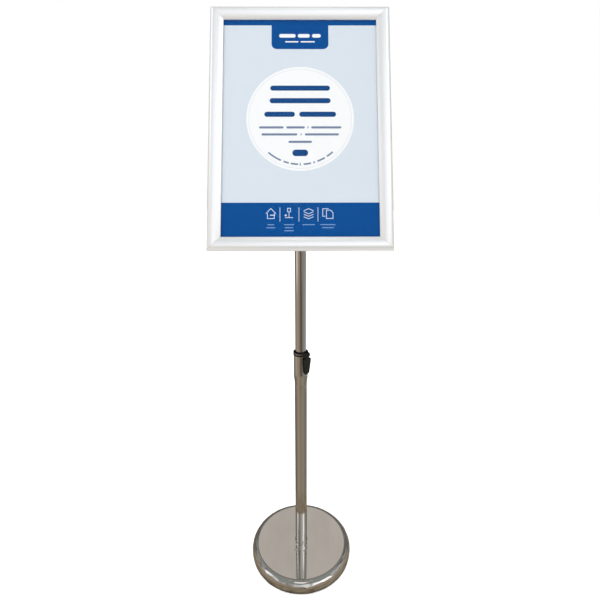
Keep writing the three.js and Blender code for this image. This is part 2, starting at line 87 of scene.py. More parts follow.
# ---- Dimensions repeated from the CAD, in millimetres ------------------------------------

BASE_RADIUS = 112.5
BASE_TOP = 28
BASE_RIM = 16
BASE_DROP = 14
BASE_CROWN = 1.5
BASE_WALL = 1.2
BASE_TUCK = 3
BASE_HOLE = 4.3
PAD_RADIUS = 106
PAD_THICK = 2.5

GAP = 0.3
LOWER_RADIUS = 13
LOWER_WALL = 1.1
FLARE = {"radius": 15, "start": 421, "full": 445, "mouth": 487.5}
FOOT_BEAD = {"radius": 14, "height": 1.6}
UPPER_RADIUS = 11.6
UPPER_WALL = 1.2

BUSH = {"bottom": 453, "flange": 1.4}
COLLAR = {
    "inner": 11.95, "lip": 15.8, "groove": 14.4, "low_lip": 1.1, "high_lip": 2.2, "funnel": 3, "top": 495,
}
COLLAR_BOTTOM = FLARE["mouth"] + 2 * GAP + BUSH["flange"]
BAND = {"outer": 15.4, "inner": 14.7, "opening": 8.2}
EAR = {"inner": 5.2, "outer": 7.2, "bottom": 485.5, "reach": 20.2}
PIN = {"r": 17.6, "z": 490.5, "hole": 1.8}

TONGUE = {"half": 10, "round": 9}
HEAD_COLLAR = 4
TILT_BOLT = {"shank": 3, "hole": 3.3, "head": 5.6, "thick": 4, "end": 25}
SMALL_WASHER = {"radius": 6.4, "thick": 1}
KNOB = {"radius": 14, "depth": 14, "flutes": 8, "socket": 5.3, "socket_depth": 11}

SIGN = {"width": 329, "height": 452, "depth": 12, "back": 21}
SHEET = {"width": 297, "height": 420, "front": 3.45}
PLATE = {"size": 96, "corner": 10, "thick": 2.5, "hub": 7.5, "holes": 38}
PLATE_BACK = SIGN["back"] - 0.9
WASHER_BACK = PLATE_BACK - 1.1
DISC_BACK = WASHER_BACK - 2.8
SWIVEL_WASHER = {"radius": 29, "thick": 0.8}
DISC = {"radius": 30, "thick": 2.5, "lug": 2.5}
PIVOT = {"shank": 4, "hole": 4.3, "head": 7, "thick": 3, "washer": 8}
RIVET = {"radius": 3.9, "dome": 1.3, "hole": 2.2}

TILT_AXIS = joints["sign_tilt"]["pos_m"][2] / MM
TILT = -math.radians(joints["sign_tilt"]["range_deg"][0])
lever_side = joints["shoe_slide"]["axis"]

# Where each group of shapes sits: the clamp turned towards its lever, and the tilted sign.
CLAMP = Matrix.Rotation(math.atan2(lever_side[1], lever_side[0]), 4, "Z")
HEAD = Matrix.Translation((0, 0, TILT_AXIS * MM))
ON_SIGN = HEAD @ Matrix.Rotation(-TILT, 4, "X")
ALONG_X = Matrix.Rotation(math.pi / 2, 4, "Y")
TO_FRONT = Matrix.Rotation(math.pi / 2, 4, "X")
AS_SIDE = Matrix.Rotation(math.pi / 2, 4, "Z") @ TO_FRONT

# ---- Outlines --------------------------------------------------------------------------


def arc(cx, cy, rx, ry, start, end, steps):
    """Points of an arc from one angle to another, in degrees."""
    angles = [math.radians(start + (end - start) * i / steps) for i in range(steps + 1)]
    return [(cx + rx * math.cos(a), cy + ry * math.sin(a)) for a in angles]


def rounded(points, reach, steps=4):
    """The closed outline with a small curve at each corner that turns by more than 15 degrees."""
    result = []
    for i, point in enumerate(points):
        corner = Vector(point)
        before = Vector(points[i - 1]) - corner
        after = Vector(points[(i + 1) % len(points)]) - corner
        if before.length < 1e-6 or after.length < 1e-6:
            continue
        if before.angle(-after) < math.radians(15):
            result.append(tuple(corner))
            continue
        start = corner + before.normalized() * min(reach, 0.45 * before.length)
        end = corner + after.normalized() * min(reach, 0.45 * after.length)
        for k in range(steps + 1):
            t = k / steps
            result.append(tuple(start * (1 - t) ** 2 + corner * 2 * t * (1 - t) + end * t * t))
    return result


def box_outline(width, height, corner, cx=0, cy=0, steps=6):
    """A rectangle with round corners about (cx, cy)."""
    w, h = width / 2 - corner, height / 2 - corner
    centres = [(w, h, 0), (-w, h, 90), (-w, -h, 180), (w, -h, 270)]
    points = []
    for x, y, angle in centres:
        points += arc(cx + x, cy + y, corner, corner, angle, angle + 90, steps)
    return points


# ---- Solids ----------------------------------------------------------------------------


def lathe(profile, segments=96, shape=None):
    """A profile of (radius, z) turned about Z. It closes on itself unless it starts on the axis."""
    bm = bmesh.new()
    rings = []
    for r, z in profile:
        if r < 1e-6:
            rings.append([bm.verts.new((0, 0, z))] * segments)
            continue
        ring = []
        for i in range(segments):
            angle = 2 * math.pi * i / segments
            reach = shape(angle, r, z) if shape else r
            ring.append(bm.verts.new((reach * math.cos(angle), reach * math.sin(angle), z)))
        rings.append(ring)
    open_ended = profile[0][0] < 1e-6
    for k in range(len(rings) - 1 if open_ended else len(rings)):
        lower, upper = rings[k], rings[(k + 1) % len(rings)]
        for i in range(segments):
            j = (i + 1) % segments
            corners = list(dict.fromkeys([lower[i], lower[j], upper[j], upper[i]]))
            bm.faces.new(corners)
    bmesh.ops.recalc_face_normals(bm, faces=bm.faces)
    return bm


def prism(outline, low, high, bm=None):
    """A closed outline of (x, y) extruded from z = low to z = high."""
    bm = bm or bmesh.new()
    bottom = [bm.verts.new((x, y, low)) for x, y in outline]
    top = [bm.verts.new((x, y, high)) for x, y in outline]
    faces = [bm.faces.new(bottom[::-1]), bm.faces.new(top)]
    for i in range(len(outline)):
        j = (i + 1) % len(outline)
        faces.append(bm.faces.new((bottom[i], bottom[j], top[j], top[i])))
    bmesh.ops.recalc_face_normals(bm, faces=faces)
    return bm


def block(low, high):
    x0, y0, z0 = low
    x1, y1, z1 = high
    return prism([(x0, y0), (x1, y0), (x1, y1), (x0, y1)], z0, z1)


def tube(outer, inner, low, high, edge=0.3, segments=96):
    corners = [(inner, low), (outer, low), (outer, high), (inner, high)]
    return lathe(rounded(corners, edge), segments)


def rod(radius, low, high, segments=48):
    return lathe([(0, low), (radius, low), (radius, high), (0, high)], segments)


def loft(sections):
    """Rings of points joined one to the next, with both ends capped."""
    bm = bmesh.new()
    rings = [[bm.verts.new(point) for point in section] for section in sections]
    for lower, upper in zip(rings, rings[1:]):
        for i in range(len(lower)):
            j = (i + 1) % len(lower)
            bm.faces.new((lower[i], lower[j], upper[j], upper[i]))
    bm.faces.new(rings[0][::-1])
    bm.faces.new(rings[-1])
    bmesh.ops.recalc_face_normals(bm, faces=bm.faces)
    return bm


def moved(bm, matrix):
    bm.transform(matrix)
    return bm


def shifted(bm, x, y, z):
    return moved(bm, Matrix.Translation((x, y, z)))


def temporary(bm):
    mesh = bpy.data.meshes.new("temporary")
    bm.to_mesh(mesh)
    bm.free()
    obj = bpy.data.objects.new("temporary", mesh)
    bpy.context.scene.collection.objects.link(obj)
    return obj


def combined(base, *steps):
    """base with other solids joined (UNION), cut away (DIFFERENCE) or kept in common (INTERSECT)."""
    work = temporary(base)
    tools = []
    for operation, solid in steps:
        tools.append(temporary(solid))
        modifier = work.modifiers.new("step", "BOOLEAN")
        modifier.operation = operation
        modifier.solver = "MANIFOLD"
        modifier.object = tools[-1]
    result = bmesh.new()
    result.from_object(work, bpy.context.evaluated_depsgraph_get())
    for obj in [work, *tools]:
        bpy.data.meshes.remove(obj.data)
    bmesh.ops.remove_doubles(result, verts=result.verts, dist=1e-3)
    bmesh.ops.dissolve_limit(result, angle_limit=math.radians(0.4), verts=result.verts, edges=result.edges)
    return result


def cut(base, *tools):
    return combined(base, *[("DIFFERENCE", tool) for tool in tools])


def bevelled(bm, width, segments=3, above=32):
    """The solid with every edge that is sharper than so many degrees rounded off."""
    sharp = [e for e in bm.edges if len(e.link_faces) == 2 and e.calc_face_angle(0) > math.radians(above)]
    shape = {"offset": width, "segments": segments, "profile": 0.5, "affect": "EDGES"}
    bmesh.ops.bevel(bm, geom=sharp, clamp_overlap=True, **shape)
    return bm


def add_piece(node, bm, body, material, place=WHERE, crease=38, name=None):
    """Puts a finished shape in place of a CAD node of that name, on its body."""
    name = name or node + "_finished"
    bm.transform(Matrix.Scale(MM, 4))
    mesh = bpy.data.meshes.new(name)
    bm.to_mesh(mesh)
    bm.free()
    mesh.shade_smooth()
    mesh.set_sharp_from_angle(angle=math.radians(crease))
    mesh.materials.append(material)
    obj = bpy.data.objects.new(name, mesh)
    bpy.context.scene.collection.objects.link(obj)
    obj.matrix_world = place
    shading = obj.modifiers.new("shading", "WEIGHTED_NORMAL")
    shading.keep_sharp = True
    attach(obj, body)
    if node:
        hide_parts(node)
    return obj


# ---- Materials -------------------------------------------------------------------------


class Finish:
    """A Principled material built up node by node. Uniform values go straight onto the shader."""

    def __init__(self, name, **values):
        self.material = bpy.data.materials.new(name)
        self.material.use_nodes = True
        self.tree = self.material.node_tree
        self.shader = self.tree.nodes["Principled BSDF"]
        for key, value in values.items():
            self.shader.inputs[key.replace("_", " ").title().replace("Ior", "IOR")].default_value = value
        self.coordinates = self.node("ShaderNodeTexCoord").outputs["Object"]

    def node(self, kind, inputs=None, **settings):
        made = self.tree.nodes.new(kind)
        for key, value in settings.items():
            setattr(made, key, value)
        for key, value in (inputs or {}).items():
            self.feed(made.inputs[key], value)
        return made

    def feed(self, socket, value):
        if isinstance(value, bpy.types.NodeSocket):
            self.tree.links.new(value, socket)
        else:
            socket.default_value = value

    def scaled(self, scale):
        return self.node("ShaderNodeMapping", {"Vector": self.coordinates, "Scale": scale}).outputs[0]

    def noise(self, scale, detail=3.0, roughness=0.55, distortion=0.0):
        """Soft noise with so many features a metre along x, y and z."""
        values = {
            "Vector": self.scaled(scale),
            "Scale": 1.0,
            "Detail": detail,
            "Roughness": roughness,
            "Distortion": distortion,
        }
        return self.node("ShaderNodeTexNoise", values).outputs["Fac"]

    def cells(self, scale, output="Color"):
        values = {"Vector": self.coordinates, "Scale": scale}
        return self.node("ShaderNodeTexVoronoi", values).outputs[output]

    def radius(self):
        """The distance from the Z axis, in metres."""
        flat = self.scaled((1, 1, 0))
        return self.node("ShaderNodeVectorMath", {0: flat}, operation="LENGTH").outputs["Value"]

    def ramp(self, factor, stops):
        made = self.node("ShaderNodeValToRGB", {"Fac": factor})
        elements = made.color_ramp.elements
        while len(elements) < len(stops):
            elements.new(0.5)
        for element, (position, colour) in zip(elements, stops):
            element.position = position
            element.color = (*colour, 1)
        return made.outputs["Color"]

    def between(self, factor, low, high, source=(0.3, 0.7)):
        """The factor's source range mapped onto low to high, and held there outside it."""
        limits = {"From Min": source[0], "From Max": source[1], "To Min": low, "To Max": high}
        return self.node("ShaderNodeMapRange", {"Value": factor, **limits}).outputs["Result"]

    def mix(self, factor, a, b):
        made = self.node("ShaderNodeMix", data_type="RGBA")
        for name, value in (("Factor", factor), ("A", a), ("B", b)):
            socket = next(s for s in made.inputs if s.enabled and s.name == name)
            self.feed(socket, value)
        return next(s for s in made.outputs if s.enabled)

    def maths(self, operation, a, b):
        return self.node("ShaderNodeMath", {0: a, 1: b}, operation=operation).outputs[0]

    def colour(self, factor, *colours, spread=(0.3, 0.7)):
        """Colours spaced evenly over the noise's usual range."""
        step = (spread[1] - spread[0]) / (len(colours) - 1)
        stops = [(spread[0] + i * step, colour) for i, colour in enumerate(colours)]
        self.feed(self.shader.inputs["Base Color"], self.ramp(factor, stops))

    def rough(self, factor, low, high, source=(0.3, 0.7)):
        self.feed(self.shader.inputs["Roughness"], self.between(factor, low, high, source))

    def bump(self, height, strength, distance):
        values = {"Height": height, "Strength": strength, "Distance": distance}
        normal = self.node("ShaderNodeBump", values).outputs["Normal"]
        self.feed(self.shader.inputs["Normal"], normal)


def polished_tube():
    finish = Finish("polished_tube_steel", metallic=1.0)
    lengthwise = finish.noise((420, 420, 2.2), detail=4)
    finish.colour(lengthwise, (0.52, 0.49, 0.45), (0.60, 0.57, 0.53), (0.66, 0.63, 0.59))
    finish.rough(finish.noise((60, 60, 9)), 0.05, 0.13)
    finish.bump(finish.noise((900, 900, 14), detail=2), 0.08, 0.0001)
    return finish.material


def spun_base_steel():
    """Hazy on the flat top, clear on the rolled rim, with the faint rings that spinning leaves."""
    finish = Finish("spun_base_steel", metallic=1.0)
    cloud = finish.noise((22, 9, 22), detail=4)
    finish.colour(cloud, (0.58, 0.55, 0.52), (0.62, 0.59, 0.555), (0.65, 0.62, 0.585))
    haze = finish.between(finish.radius(), 0.07, 0.045, (0.090, 0.101))
    smear = finish.between(finish.noise((40, 8, 40)), 0.8, 1.25)
    finish.feed(finish.shader.inputs["Roughness"], finish.maths("MULTIPLY", haze, smear))
    rings = finish.maths("SINE", finish.maths("MULTIPLY", finish.radius(), 9000), 0)
    finish.bump(rings, 0.015, 0.00005)
    return finish.material


def satin_aluminium():
    """Silver anodised extrusion with fine lines along its length, which is the piece's own Z."""
    finish = Finish("satin_silver_aluminium", metallic=0.6)
    lines = finish.noise((2600, 2600, 6), detail=2)
    finish.colour(lines, (0.955, 0.96, 0.97), (0.97, 0.975, 0.985), (0.985, 0.988, 0.99))
    finish.rough(finish.noise((300, 300, 12)), 0.30, 0.325)
    finish.bump(lines, 0.05, 0.00004)
    return finish.material


def zinc_steel():
    finish = Finish("zinc_plated_steel", metallic=1.0)
    cloud = finish.noise((130, 130, 130), detail=5, roughness=0.65)
    finish.colour(cloud, (0.46, 0.49, 0.53), (0.60, 0.61, 0.61), (0.66, 0.64, 0.57))
    finish.rough(cloud, 0.26, 0.46)
    finish.bump(finish.noise((1400, 1400, 1400), detail=2), 0.12, 0.0001)
    return finish.material


def galvanised_sheet():
    """Sheet steel with the soft crystal pattern of a zinc coat."""
    finish = Finish("galvanised_sheet", metallic=1.0)
    spangle = finish.node("ShaderNodeSeparateColor", {"Color": finish.cells(90)}).outputs[0]
    grain = finish.maths("ADD", finish.maths("MULTIPLY", spangle, 0.5), finish.noise((500, 500, 500)))
    finish.colour(grain, (0.50, 0.52, 0.54), (0.62, 0.64, 0.66), (0.70, 0.715, 0.73), spread=(0.4, 1.0))
    finish.rough(grain, 0.32, 0.48, (0.4, 1.0))
    finish.bump(grain, 0.05, 0.0001)
    return finish.material


def spring_steel():
    finish = Finish("blued_spring_steel", metallic=1.0)
    cloud = finish.noise((200, 200, 200), detail=4)
    finish.colour(cloud, (0.30, 0.33, 0.40), (0.40, 0.42, 0.46), (0.50, 0.47, 0.42))
    finish.rough(cloud, 0.25, 0.4)
    finish.bump(finish.noise((1800, 1800, 1800)), 0.08, 0.0001)
    return finish.material


def blackened_steel():
    finish = Finish("black_oxide_steel", metallic=0.6, specular_ior_level=0.3)
    cloud = finish.noise((400, 400, 400), detail=4)
    finish.colour(cloud, (0.012, 0.012, 0.013), (0.02, 0.019, 0.019), (0.035, 0.032, 0.03))
    finish.rough(cloud, 0.38, 0.52)
    finish.bump(finish.noise((2400, 2400, 2400)), 0.08, 0.0001)
    return finish.material


def cast_iron():
    finish = Finish("cast_iron", metallic=0.4)
    sand = finish.noise((420, 420, 420), detail=6, roughness=0.7)
    finish.colour(sand, (0.028, 0.027, 0.027), (0.05, 0.047, 0.045), (0.09, 0.075, 0.06))
    finish.rough(sand, 0.65, 0.9)
    finish.bump(sand, 0.6, 0.0006)
    return finish.material


def moulded_plastic(name, dark, middle, light, gloss):
    """Moulded plastic with a fine spark-eroded grain and a slight unevenness of gloss."""
    finish = Finish(name, specular_ior_level=0.16)
    finish.colour(finish.noise((260, 260, 260), detail=4), dark, middle, light)
    finish.rough(finish.noise((90, 90, 90)), gloss - 0.07, gloss + 0.09)
    finish.bump(finish.noise((3200, 3200, 3200), detail=2), 0.16, 0.00012)
    return finish.material


def pad_rubber():
    finish = Finish("pad_rubber", specular_ior_level=0.3)
    dust = finish.noise((150, 150, 150), detail=6, roughness=0.7)
    shades = [(0.014, 0.014, 0.015), (0.024, 0.024, 0.025), (0.05, 0.048, 0.045)]
    finish.colour(dust, *shades, spread=(0.35, 0.75))
    finish.rough(dust, 0.75, 0.92)
    finish.bump(finish.noise((1500, 1500, 1500)), 0.35, 0.0002)
    return finish.material


def turned_brass():
    finish = Finish("turned_brass", metallic=1.0)
    rings = finish.noise((1200, 60, 60))
    finish.colour(rings, (0.50, 0.36, 0.14), (0.62, 0.46, 0.2), (0.70, 0.54, 0.27))
    finish.rough(rings, 0.22, 0.38)
    finish.bump(rings, 0.1, 0.0001)
    return finish.material


def printed(name, colour, gloss=0.55):
    """Paper, or ink on it: a fibre texture and a little mottling of the colour."""
    finish = Finish(name, specular_ior_level=0.03)
    fibre = finish.noise((700, 700, 700), detail=5, roughness=0.7)
    shades = [tuple(min(1.0, c * k) for c in colour) for k in (0.965, 1.0, 1.03)]
    finish.colour(fibre, *shades)
    finish.rough(fibre, gloss - 0.05, gloss + 0.07)
    finish.bump(fibre, 0.05, 0.00005)
    return finish.material


def clear_sheet():
    """Thin clear sheet: nearly all is seen through it, with more of its own gloss at a glance."""
    finish = Finish("clear_cover_sheet", base_color=(0.3, 0.32, 0.34, 1), ior=1.49)
    edge_on = finish.node("ShaderNodeLayerWeight", {"Blend": 0.25}).outputs["Fresnel"]
    finish.feed(finish.shader.inputs["Alpha"], finish.between(edge_on, 0.004, 0.5, (0.03, 1.0)))
    finish.rough(finish.noise((12, 12, 12)), 0.10, 0.2)
    return finish.material


tube_steel = polished_tube()
base_steel = spun_base_steel()
aluminium = satin_aluminium()
zinc = zinc_steel()
galvanised = galvanised_sheet()
blued = spring_steel()
blackened = blackened_steel()
iron = cast_iron()
BLACKS = [(0.007, 0.007, 0.008), (0.011, 0.010, 0.010), (0.021, 0.018, 0.016)]
black = moulded_plastic("black_moulded_plastic", *BLACKS, 0.42)
NYLON_TINTS = [(0.66, 0.66, 0.62), (0.72, 0.72, 0.69), (0.76, 0.76, 0.74)]
nylon = moulded_plastic("natural_nylon", *NYLON_TINTS, 0.5)
rubber = pad_rubber()
brass = turned_brass()
clear = clear_sheet()
paper = printed("pale_blue_paper", (0.72, 0.785, 0.85))
ink_blue = printed("blue_ink", (0.004, 0.082, 0.31))
ink_navy = printed("dark_blue_ink", (0.012, 0.075, 0.25))
ink_white = printed("white_ink", (0.945, 0.955, 0.96))
ink_faint = printed("faint_grey_ink", (0.72, 0.77, 0.84))
ink_pale = printed("pale_icon_ink", (0.70, 0.80, 0.93))
ink_sky = printed("mid_blue_ink", (0.22, 0.40, 0.68))
ink_slate = printed("slate_ink", (0.20, 0.26, 0.38))

# ---- Base ------------------------------------------------------------------------------

RIM_WAVE = 0.5  # unevenness round the rim
FOOT_WAVE = 0.14  # height of the dents round the pole


def cover_waves(angle, r, z):
    """The shallow unevenness that spinning leaves round the rim."""
    spread = max(0.0, min(1.0, (r - BASE_RADIUS + BASE_RIM) / 6))
    spot = Vector((math.cos(angle) * 8, math.sin(angle) * 8, z * 0.15))
    return r + RIM_WAVE * spread * noise.noise(spot)


def dent_top(bm):
    """Small dents in the top close round the pole, where the bolt pulls the thin cover down."""
    seat = FOOT_BEAD["radius"] + 1
    for vert in bm.verts:
        r = math.hypot(vert.co.x, vert.co.y)
        if vert.co.z > BASE_TOP - BASE_WALL / 2 and seat < r < seat + 24:
            fade = math.sin(math.pi * (r - seat) / 24) ** 0.5
            vert.co.z += FOOT_WAVE * fade * noise.noise(Vector((vert.co.x * 0.42, vert.co.y * 0.3, 0)))


def spun_cover():
    """The spun cover: a slightly crowned top, a rim that rolls over and tucks in, one wall thick."""
    shoulder = BASE_RADIUS - BASE_RIM
    side = BASE_TOP - BASE_DROP
    seat = FOOT_BEAD["radius"] + 1

    def crowned(r):
        return BASE_TOP - BASE_CROWN * max(0.0, (r - seat) / (shoulder - seat)) ** 2

    def skin(inset):
        over = arc(shoulder, side, BASE_RIM - inset, BASE_DROP - BASE_CROWN - inset, 90, 0, 32)
        tuck = arc(BASE_RADIUS - BASE_TUCK, side, BASE_TUCK - inset, side - 1.2, 0, -60, 8)
        return over + tuck[1:]

    fine = [seat + i * 0.8 for i in range(31)]
    flat = [(r, crowned(r)) for r in (BASE_HOLE, *fine, 48, 58, 68, 78, 88)]
    under = [(r, crowned(r) - BASE_WALL) for r in (78, 58, 38, seat, BASE_HOLE)]
    bm = lathe([*flat, *skin(0), *reversed(skin(BASE_WALL)), *under], 256, cover_waves)
    dent_top(bm)
    return bm


def rubber_pad():
    """A disc with a rounded edge and shallow rings moulded into its underside."""
    edge = 0.8
    profile = [(0, PAD_THICK), (PAD_RADIUS - edge, PAD_THICK)]
    profile += arc(PAD_RADIUS - edge, PAD_THICK - edge, edge, edge, 90, 0, 4)[1:]
    profile += arc(PAD_RADIUS - edge, edge, edge, edge, 0, -90, 4)
    for ring in range(5):
        r = PAD_RADIUS - 8 - ring * 19
        profile += [(r, 0), (r - 0.6, 0.7), (r - 2.4, 0.7), (r - 3, 0)]
    profile.append((0, 0))
    return lathe(profile, 144)


add_piece("base_cover", spun_cover(), "stand", base_steel)
add_piece("base_pad", rubber_pad(), "stand", rubber)

# ---- Lower tube and clamp --------------------------------------------------------------

FOOT_CRIMP = 5  # height of the worked band at the tube's foot


def worked_foot(angle, r, z):
    """Small dents all round the tube's foot, where it is crimped onto its plug."""
    height = z - BASE_TOP - GAP - FOOT_BEAD["height"]
    if not 0 < height < FOOT_CRIMP or r < LOWER_RADIUS - 0.5:
        return r
    fade = math.sin(math.pi * height / FOOT_CRIMP)
    spot = Vector((math.cos(angle) * 6.3, math.sin(angle) * 6.3, height * 0.7))
    return r + 0.2 * fade * noise.noise(spot)


def lower_tube():
    """A straight tube with a turned bead at its foot and a smooth flare up to its mouth."""
    foot = BASE_TOP + GAP
    bead, bead_top = FOOT_BEAD["radius"], foot + FOOT_BEAD["height"]
    outer = [(bead - 0.3, foot), (bead, foot + 0.3), (bead, bead_top - 0.6), (bead - 0.4, bead_top - 0.15)]
    outer += [(LOWER_RADIUS, bead_top)]
    steps = 24
    outer += [(LOWER_RADIUS, bead_top + FOOT_CRIMP * (i + 1) / steps) for i in range(steps)]
    grow = FLARE["radius"] - LOWER_RADIUS
    rise = [i / 16 for i in range(17)]
    length = FLARE["full"] - FLARE["start"]
    flare = [(LOWER_RADIUS + grow * t * t * (3 - 2 * t), FLARE["start"] + length * t) for t in rise]
    outer += flare
    outer += [(FLARE["radius"], FLARE["mouth"] - 0.4), (FLARE["radius"] - 0.4, FLARE["mouth"])]
    inner = [(r - LOWER_WALL, z) for r, z in [(LOWER_RADIUS, foot), *flare]]
    inner.append((FLARE["radius"] - LOWER_WALL, FLARE["mouth"]))
    return lathe([*outer, *reversed(inner)], 128, worked_foot)


def clamp_bush():
    """The split guide bush inside the flare, with a thin flange over its mouth."""
    outer = FLARE["radius"] - LOWER_WALL - GAP
    low, high = FLARE["mouth"] + GAP, FLARE["mouth"] + GAP + BUSH["flange"]
    start = BUSH["bottom"]
    inner, lip = COLLAR["inner"], COLLAR["lip"]
    profile = [(inner, start), (outer, start), (outer, low), (lip, low), (lip, high), (inner, high)]
    body = lathe(rounded(profile, 0.3), 96)
    notch = block((outer - 1, -EAR["inner"], low - 1), (20, EAR["inner"], high + 1))
    split = block((-20, -1, start - 1), (0, 1, high + 1))
    return cut(body, notch, split)


def clamp_collar():
    """Two lips around a groove, with two ears that carry the lever's pin."""
    inner, lip, groove, top = COLLAR["inner"], COLLAR["lip"], COLLAR["groove"], COLLAR["top"]
    low, groove_low, groove_high = COLLAR_BOTTOM, COLLAR_BOTTOM + COLLAR["low_lip"], top - COLLAR["high_lip"]
    profile = [(inner, low), (lip, low), (lip, groove_low), (groove, groove_low), (groove, groove_high)]
    profile += [(lip, groove_high), (lip, top - 0.6), (lip - 0.6, top), (lip - 1.2, top)]
    profile.append((inner, top - COLLAR["funnel"]))
    ring = lathe(rounded(profile, 0.35), 96)
    side = FLARE["radius"] + 0.5
    reach = EAR["reach"]
    root = (inner + 2, top - COLLAR["funnel"] / 2)
    ear = [root, (lip - 0.6, top), (reach - 1.8, top), (reach - 0.2, top - 3)]
    ear += [(reach, top - 7), (reach - 0.6, EAR["bottom"] + 1.6), (reach - 2.6, EAR["bottom"])]
    ear.append((side, EAR["bottom"]))
    ear += [(side, low), (inner + 2, low)]
    ears = moved(prism(rounded(ear, 1.2), -EAR["outer"], EAR["outer"]), TO_FRONT)
    slot = block((0, -EAR["inner"], EAR["bottom"] - 1), (30, EAR["inner"], top + 1))
    bore = rod(inner, EAR["bottom"] - 1, top + 1, 96)
    pin_hole = shifted(moved(rod(PIN["hole"], -20, 20, 32), TO_FRONT), PIN["r"], 0, PIN["z"])
    whole = combined(ring, ("UNION", ears), *[("DIFFERENCE", tool) for tool in (slot, bore, pin_hole)])
    return bevelled(whole, 0.3, 2)


def clamp_band():
    """The steel band sprung into the collar's groove, open where the ears stand."""
    low, high = COLLAR_BOTTOM + COLLAR["low_lip"] + GAP, COLLAR["top"] - COLLAR["high_lip"] - GAP
    band = tube(BAND["outer"], BAND["inner"], low, high, 0.2, 128)
    return cut(band, block((0, -BAND["opening"], low - 1), (20, BAND["opening"], high + 1)))


# The lever, closed, from its cam down to its tip: height, inner radius, outer radius, half width.
LEVER_SECTIONS = [
    (493.9, 16.9, 18.3, 4.5),
    (493.3, 15.5, 19.6, 4.8),
    (492.2, 14.4, 20.4, 4.9),
    (490.5, 13.9, 20.8, 4.9),
    (488.8, 14.4, 21.0, 4.9),
    (487.3, 15.6, 21.2, 4.9),
    (485.8, 15.9, 21.4, 4.9),
    (484.9, 15.9, 21.6, 5.0),
    (484.2, 15.9, 21.75, 6.4),
    (483.0, 15.9, 21.9, 8.5),
    (481.6, 15.9, 21.9, 9.7),
    (480.2, 15.9, 21.75, 9.85),
    (474, 15.9, 21.2, 9.4),
    (468, 15.9, 20.6, 8.85),
    (461, 15.95, 19.8, 8.25),
    (455, 16.0, 19.2, 7.7),
    (451.5, 16.1, 18.95, 6.9),
    (449.4, 16.3, 18.6, 5.5),
    (448.4, 16.6, 18.2, 4.0),
    (448.0, 17.0, 17.8, 2.5),
]


def between_sections(sections, steps):
    """More sections in between, on smooth curves through the given ones."""
    result = []
    last = len(sections) - 1
    for i in range(last):
        around = [sections[max(0, i - 1)], sections[i], sections[i + 1], sections[min(last, i + 2)]]
        p0, p1, p2, p3 = [Vector(s) for s in around]
        square = 2 * p0 - 5 * p1 + 4 * p2 - p3
        cube = 3 * p1 - p0 - 3 * p2 + p3
        for k in range(steps):
            t = k / steps
            smooth = 2 * p1 + (p2 - p0) * t + square * t**2 + cube * t**3
            result.append(tuple(smooth * 0.5))
    result.append(sections[-1])
    return result


def squared_ring(cx, half_x, half_y, z, power=0.5, count=48):
    """A round-cornered ring in the plane of one height."""
    ring = []
    for i in range(count):
        angle = 2 * math.pi * i / count
        c, s = math.cos(angle), math.sin(angle)
        x = cx + half_x * math.copysign(abs(c) ** power, c)
        y = half_y * math.copysign(abs(s) ** power, s)
        ring.append((x, y, z))
    return ring


def clamp_lever():
    """The lever, from its cam round the pin down to the tip of its arm."""
    rings = []
    for z, inner, outer, half in between_sections([Vector(s) for s in LEVER_SECTIONS], 3):
        rings.append(squared_ring((inner + outer) / 2, (outer - inner) / 2, half, z))
    pin_hole = shifted(moved(rod(PIN["hole"], -20, 20, 32), TO_FRONT), PIN["r"], 0, PIN["z"])
    return cut(loft(rings), pin_hole)


add_piece("lower_tube", lower_tube(), "stand", tube_steel)
add_piece("clamp_bush", clamp_bush(), "stand", black, CLAMP)
add_piece("clamp_collar", clamp_collar(), "stand", black, CLAMP)
add_piece("clamp_band", clamp_band(), "stand", tube_steel, CLAMP)
add_piece("clamp_lever", clamp_lever(), "lever", black, CLAMP, crease=60)

# ---- Upper tube and head ---------------------------------------------------------------

upper_low, upper_high = (corner.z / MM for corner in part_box("upper_tube"))


def head_fitting():
    """The plug in the tube's top with its tilt tongue."""
    collar_bottom = upper_high + GAP
    plug_radius = UPPER_RADIUS - UPPER_WALL - GAP
    collar_top = collar_bottom + HEAD_COLLAR
    plug = [(0, upper_high - 24), (plug_radius, upper_high - 24), (plug_radius, collar_bottom)]
    plug += [(UPPER_RADIUS, collar_bottom), (UPPER_RADIUS, collar_top), (0, collar_top)]
    half_round = arc(0, TILT_AXIS, TONGUE["round"], TONGUE["round"], 0, 180, 36)
    outline = [(TONGUE["round"], collar_bottom + 1), *half_round, (-TONGUE["round"], collar_bottom + 1)]
    tongue = moved(prism(outline, -TONGUE["half"], TONGUE["half"]), AS_SIDE)
    column = rod(TONGUE["half"] + 0.9, collar_bottom, TILT_AXIS + 20, 96)
    tongue = combined(tongue, ("INTERSECT", column))
    hole = shifted(moved(rod(TILT_BOLT["hole"], -20, 20), ALONG_X), 0, 0, TILT_AXIS)
    return bevelled(combined(lathe(plug, 96), ("UNION", tongue), ("DIFFERENCE", hole)), 0.4)


LUG_FACE = TONGUE["half"] + GAP + DISC["lug"]
WASHER_START = LUG_FACE + GAP
SEAT = WASHER_START + SMALL_WASHER["thick"] + GAP


def hex_head(radius, low, high):
    """A hexagon with its upper corners turned off to a cone."""
    hexagon = prism(arc(0, 0, radius, radius, 0, 300, 5), low, high)
    cone = lathe([(0, low - 1), (radius + 2, low - 1), (radius * 0.87, high), (0, high)], 64)
    return combined(hexagon, ("INTERSECT", cone))


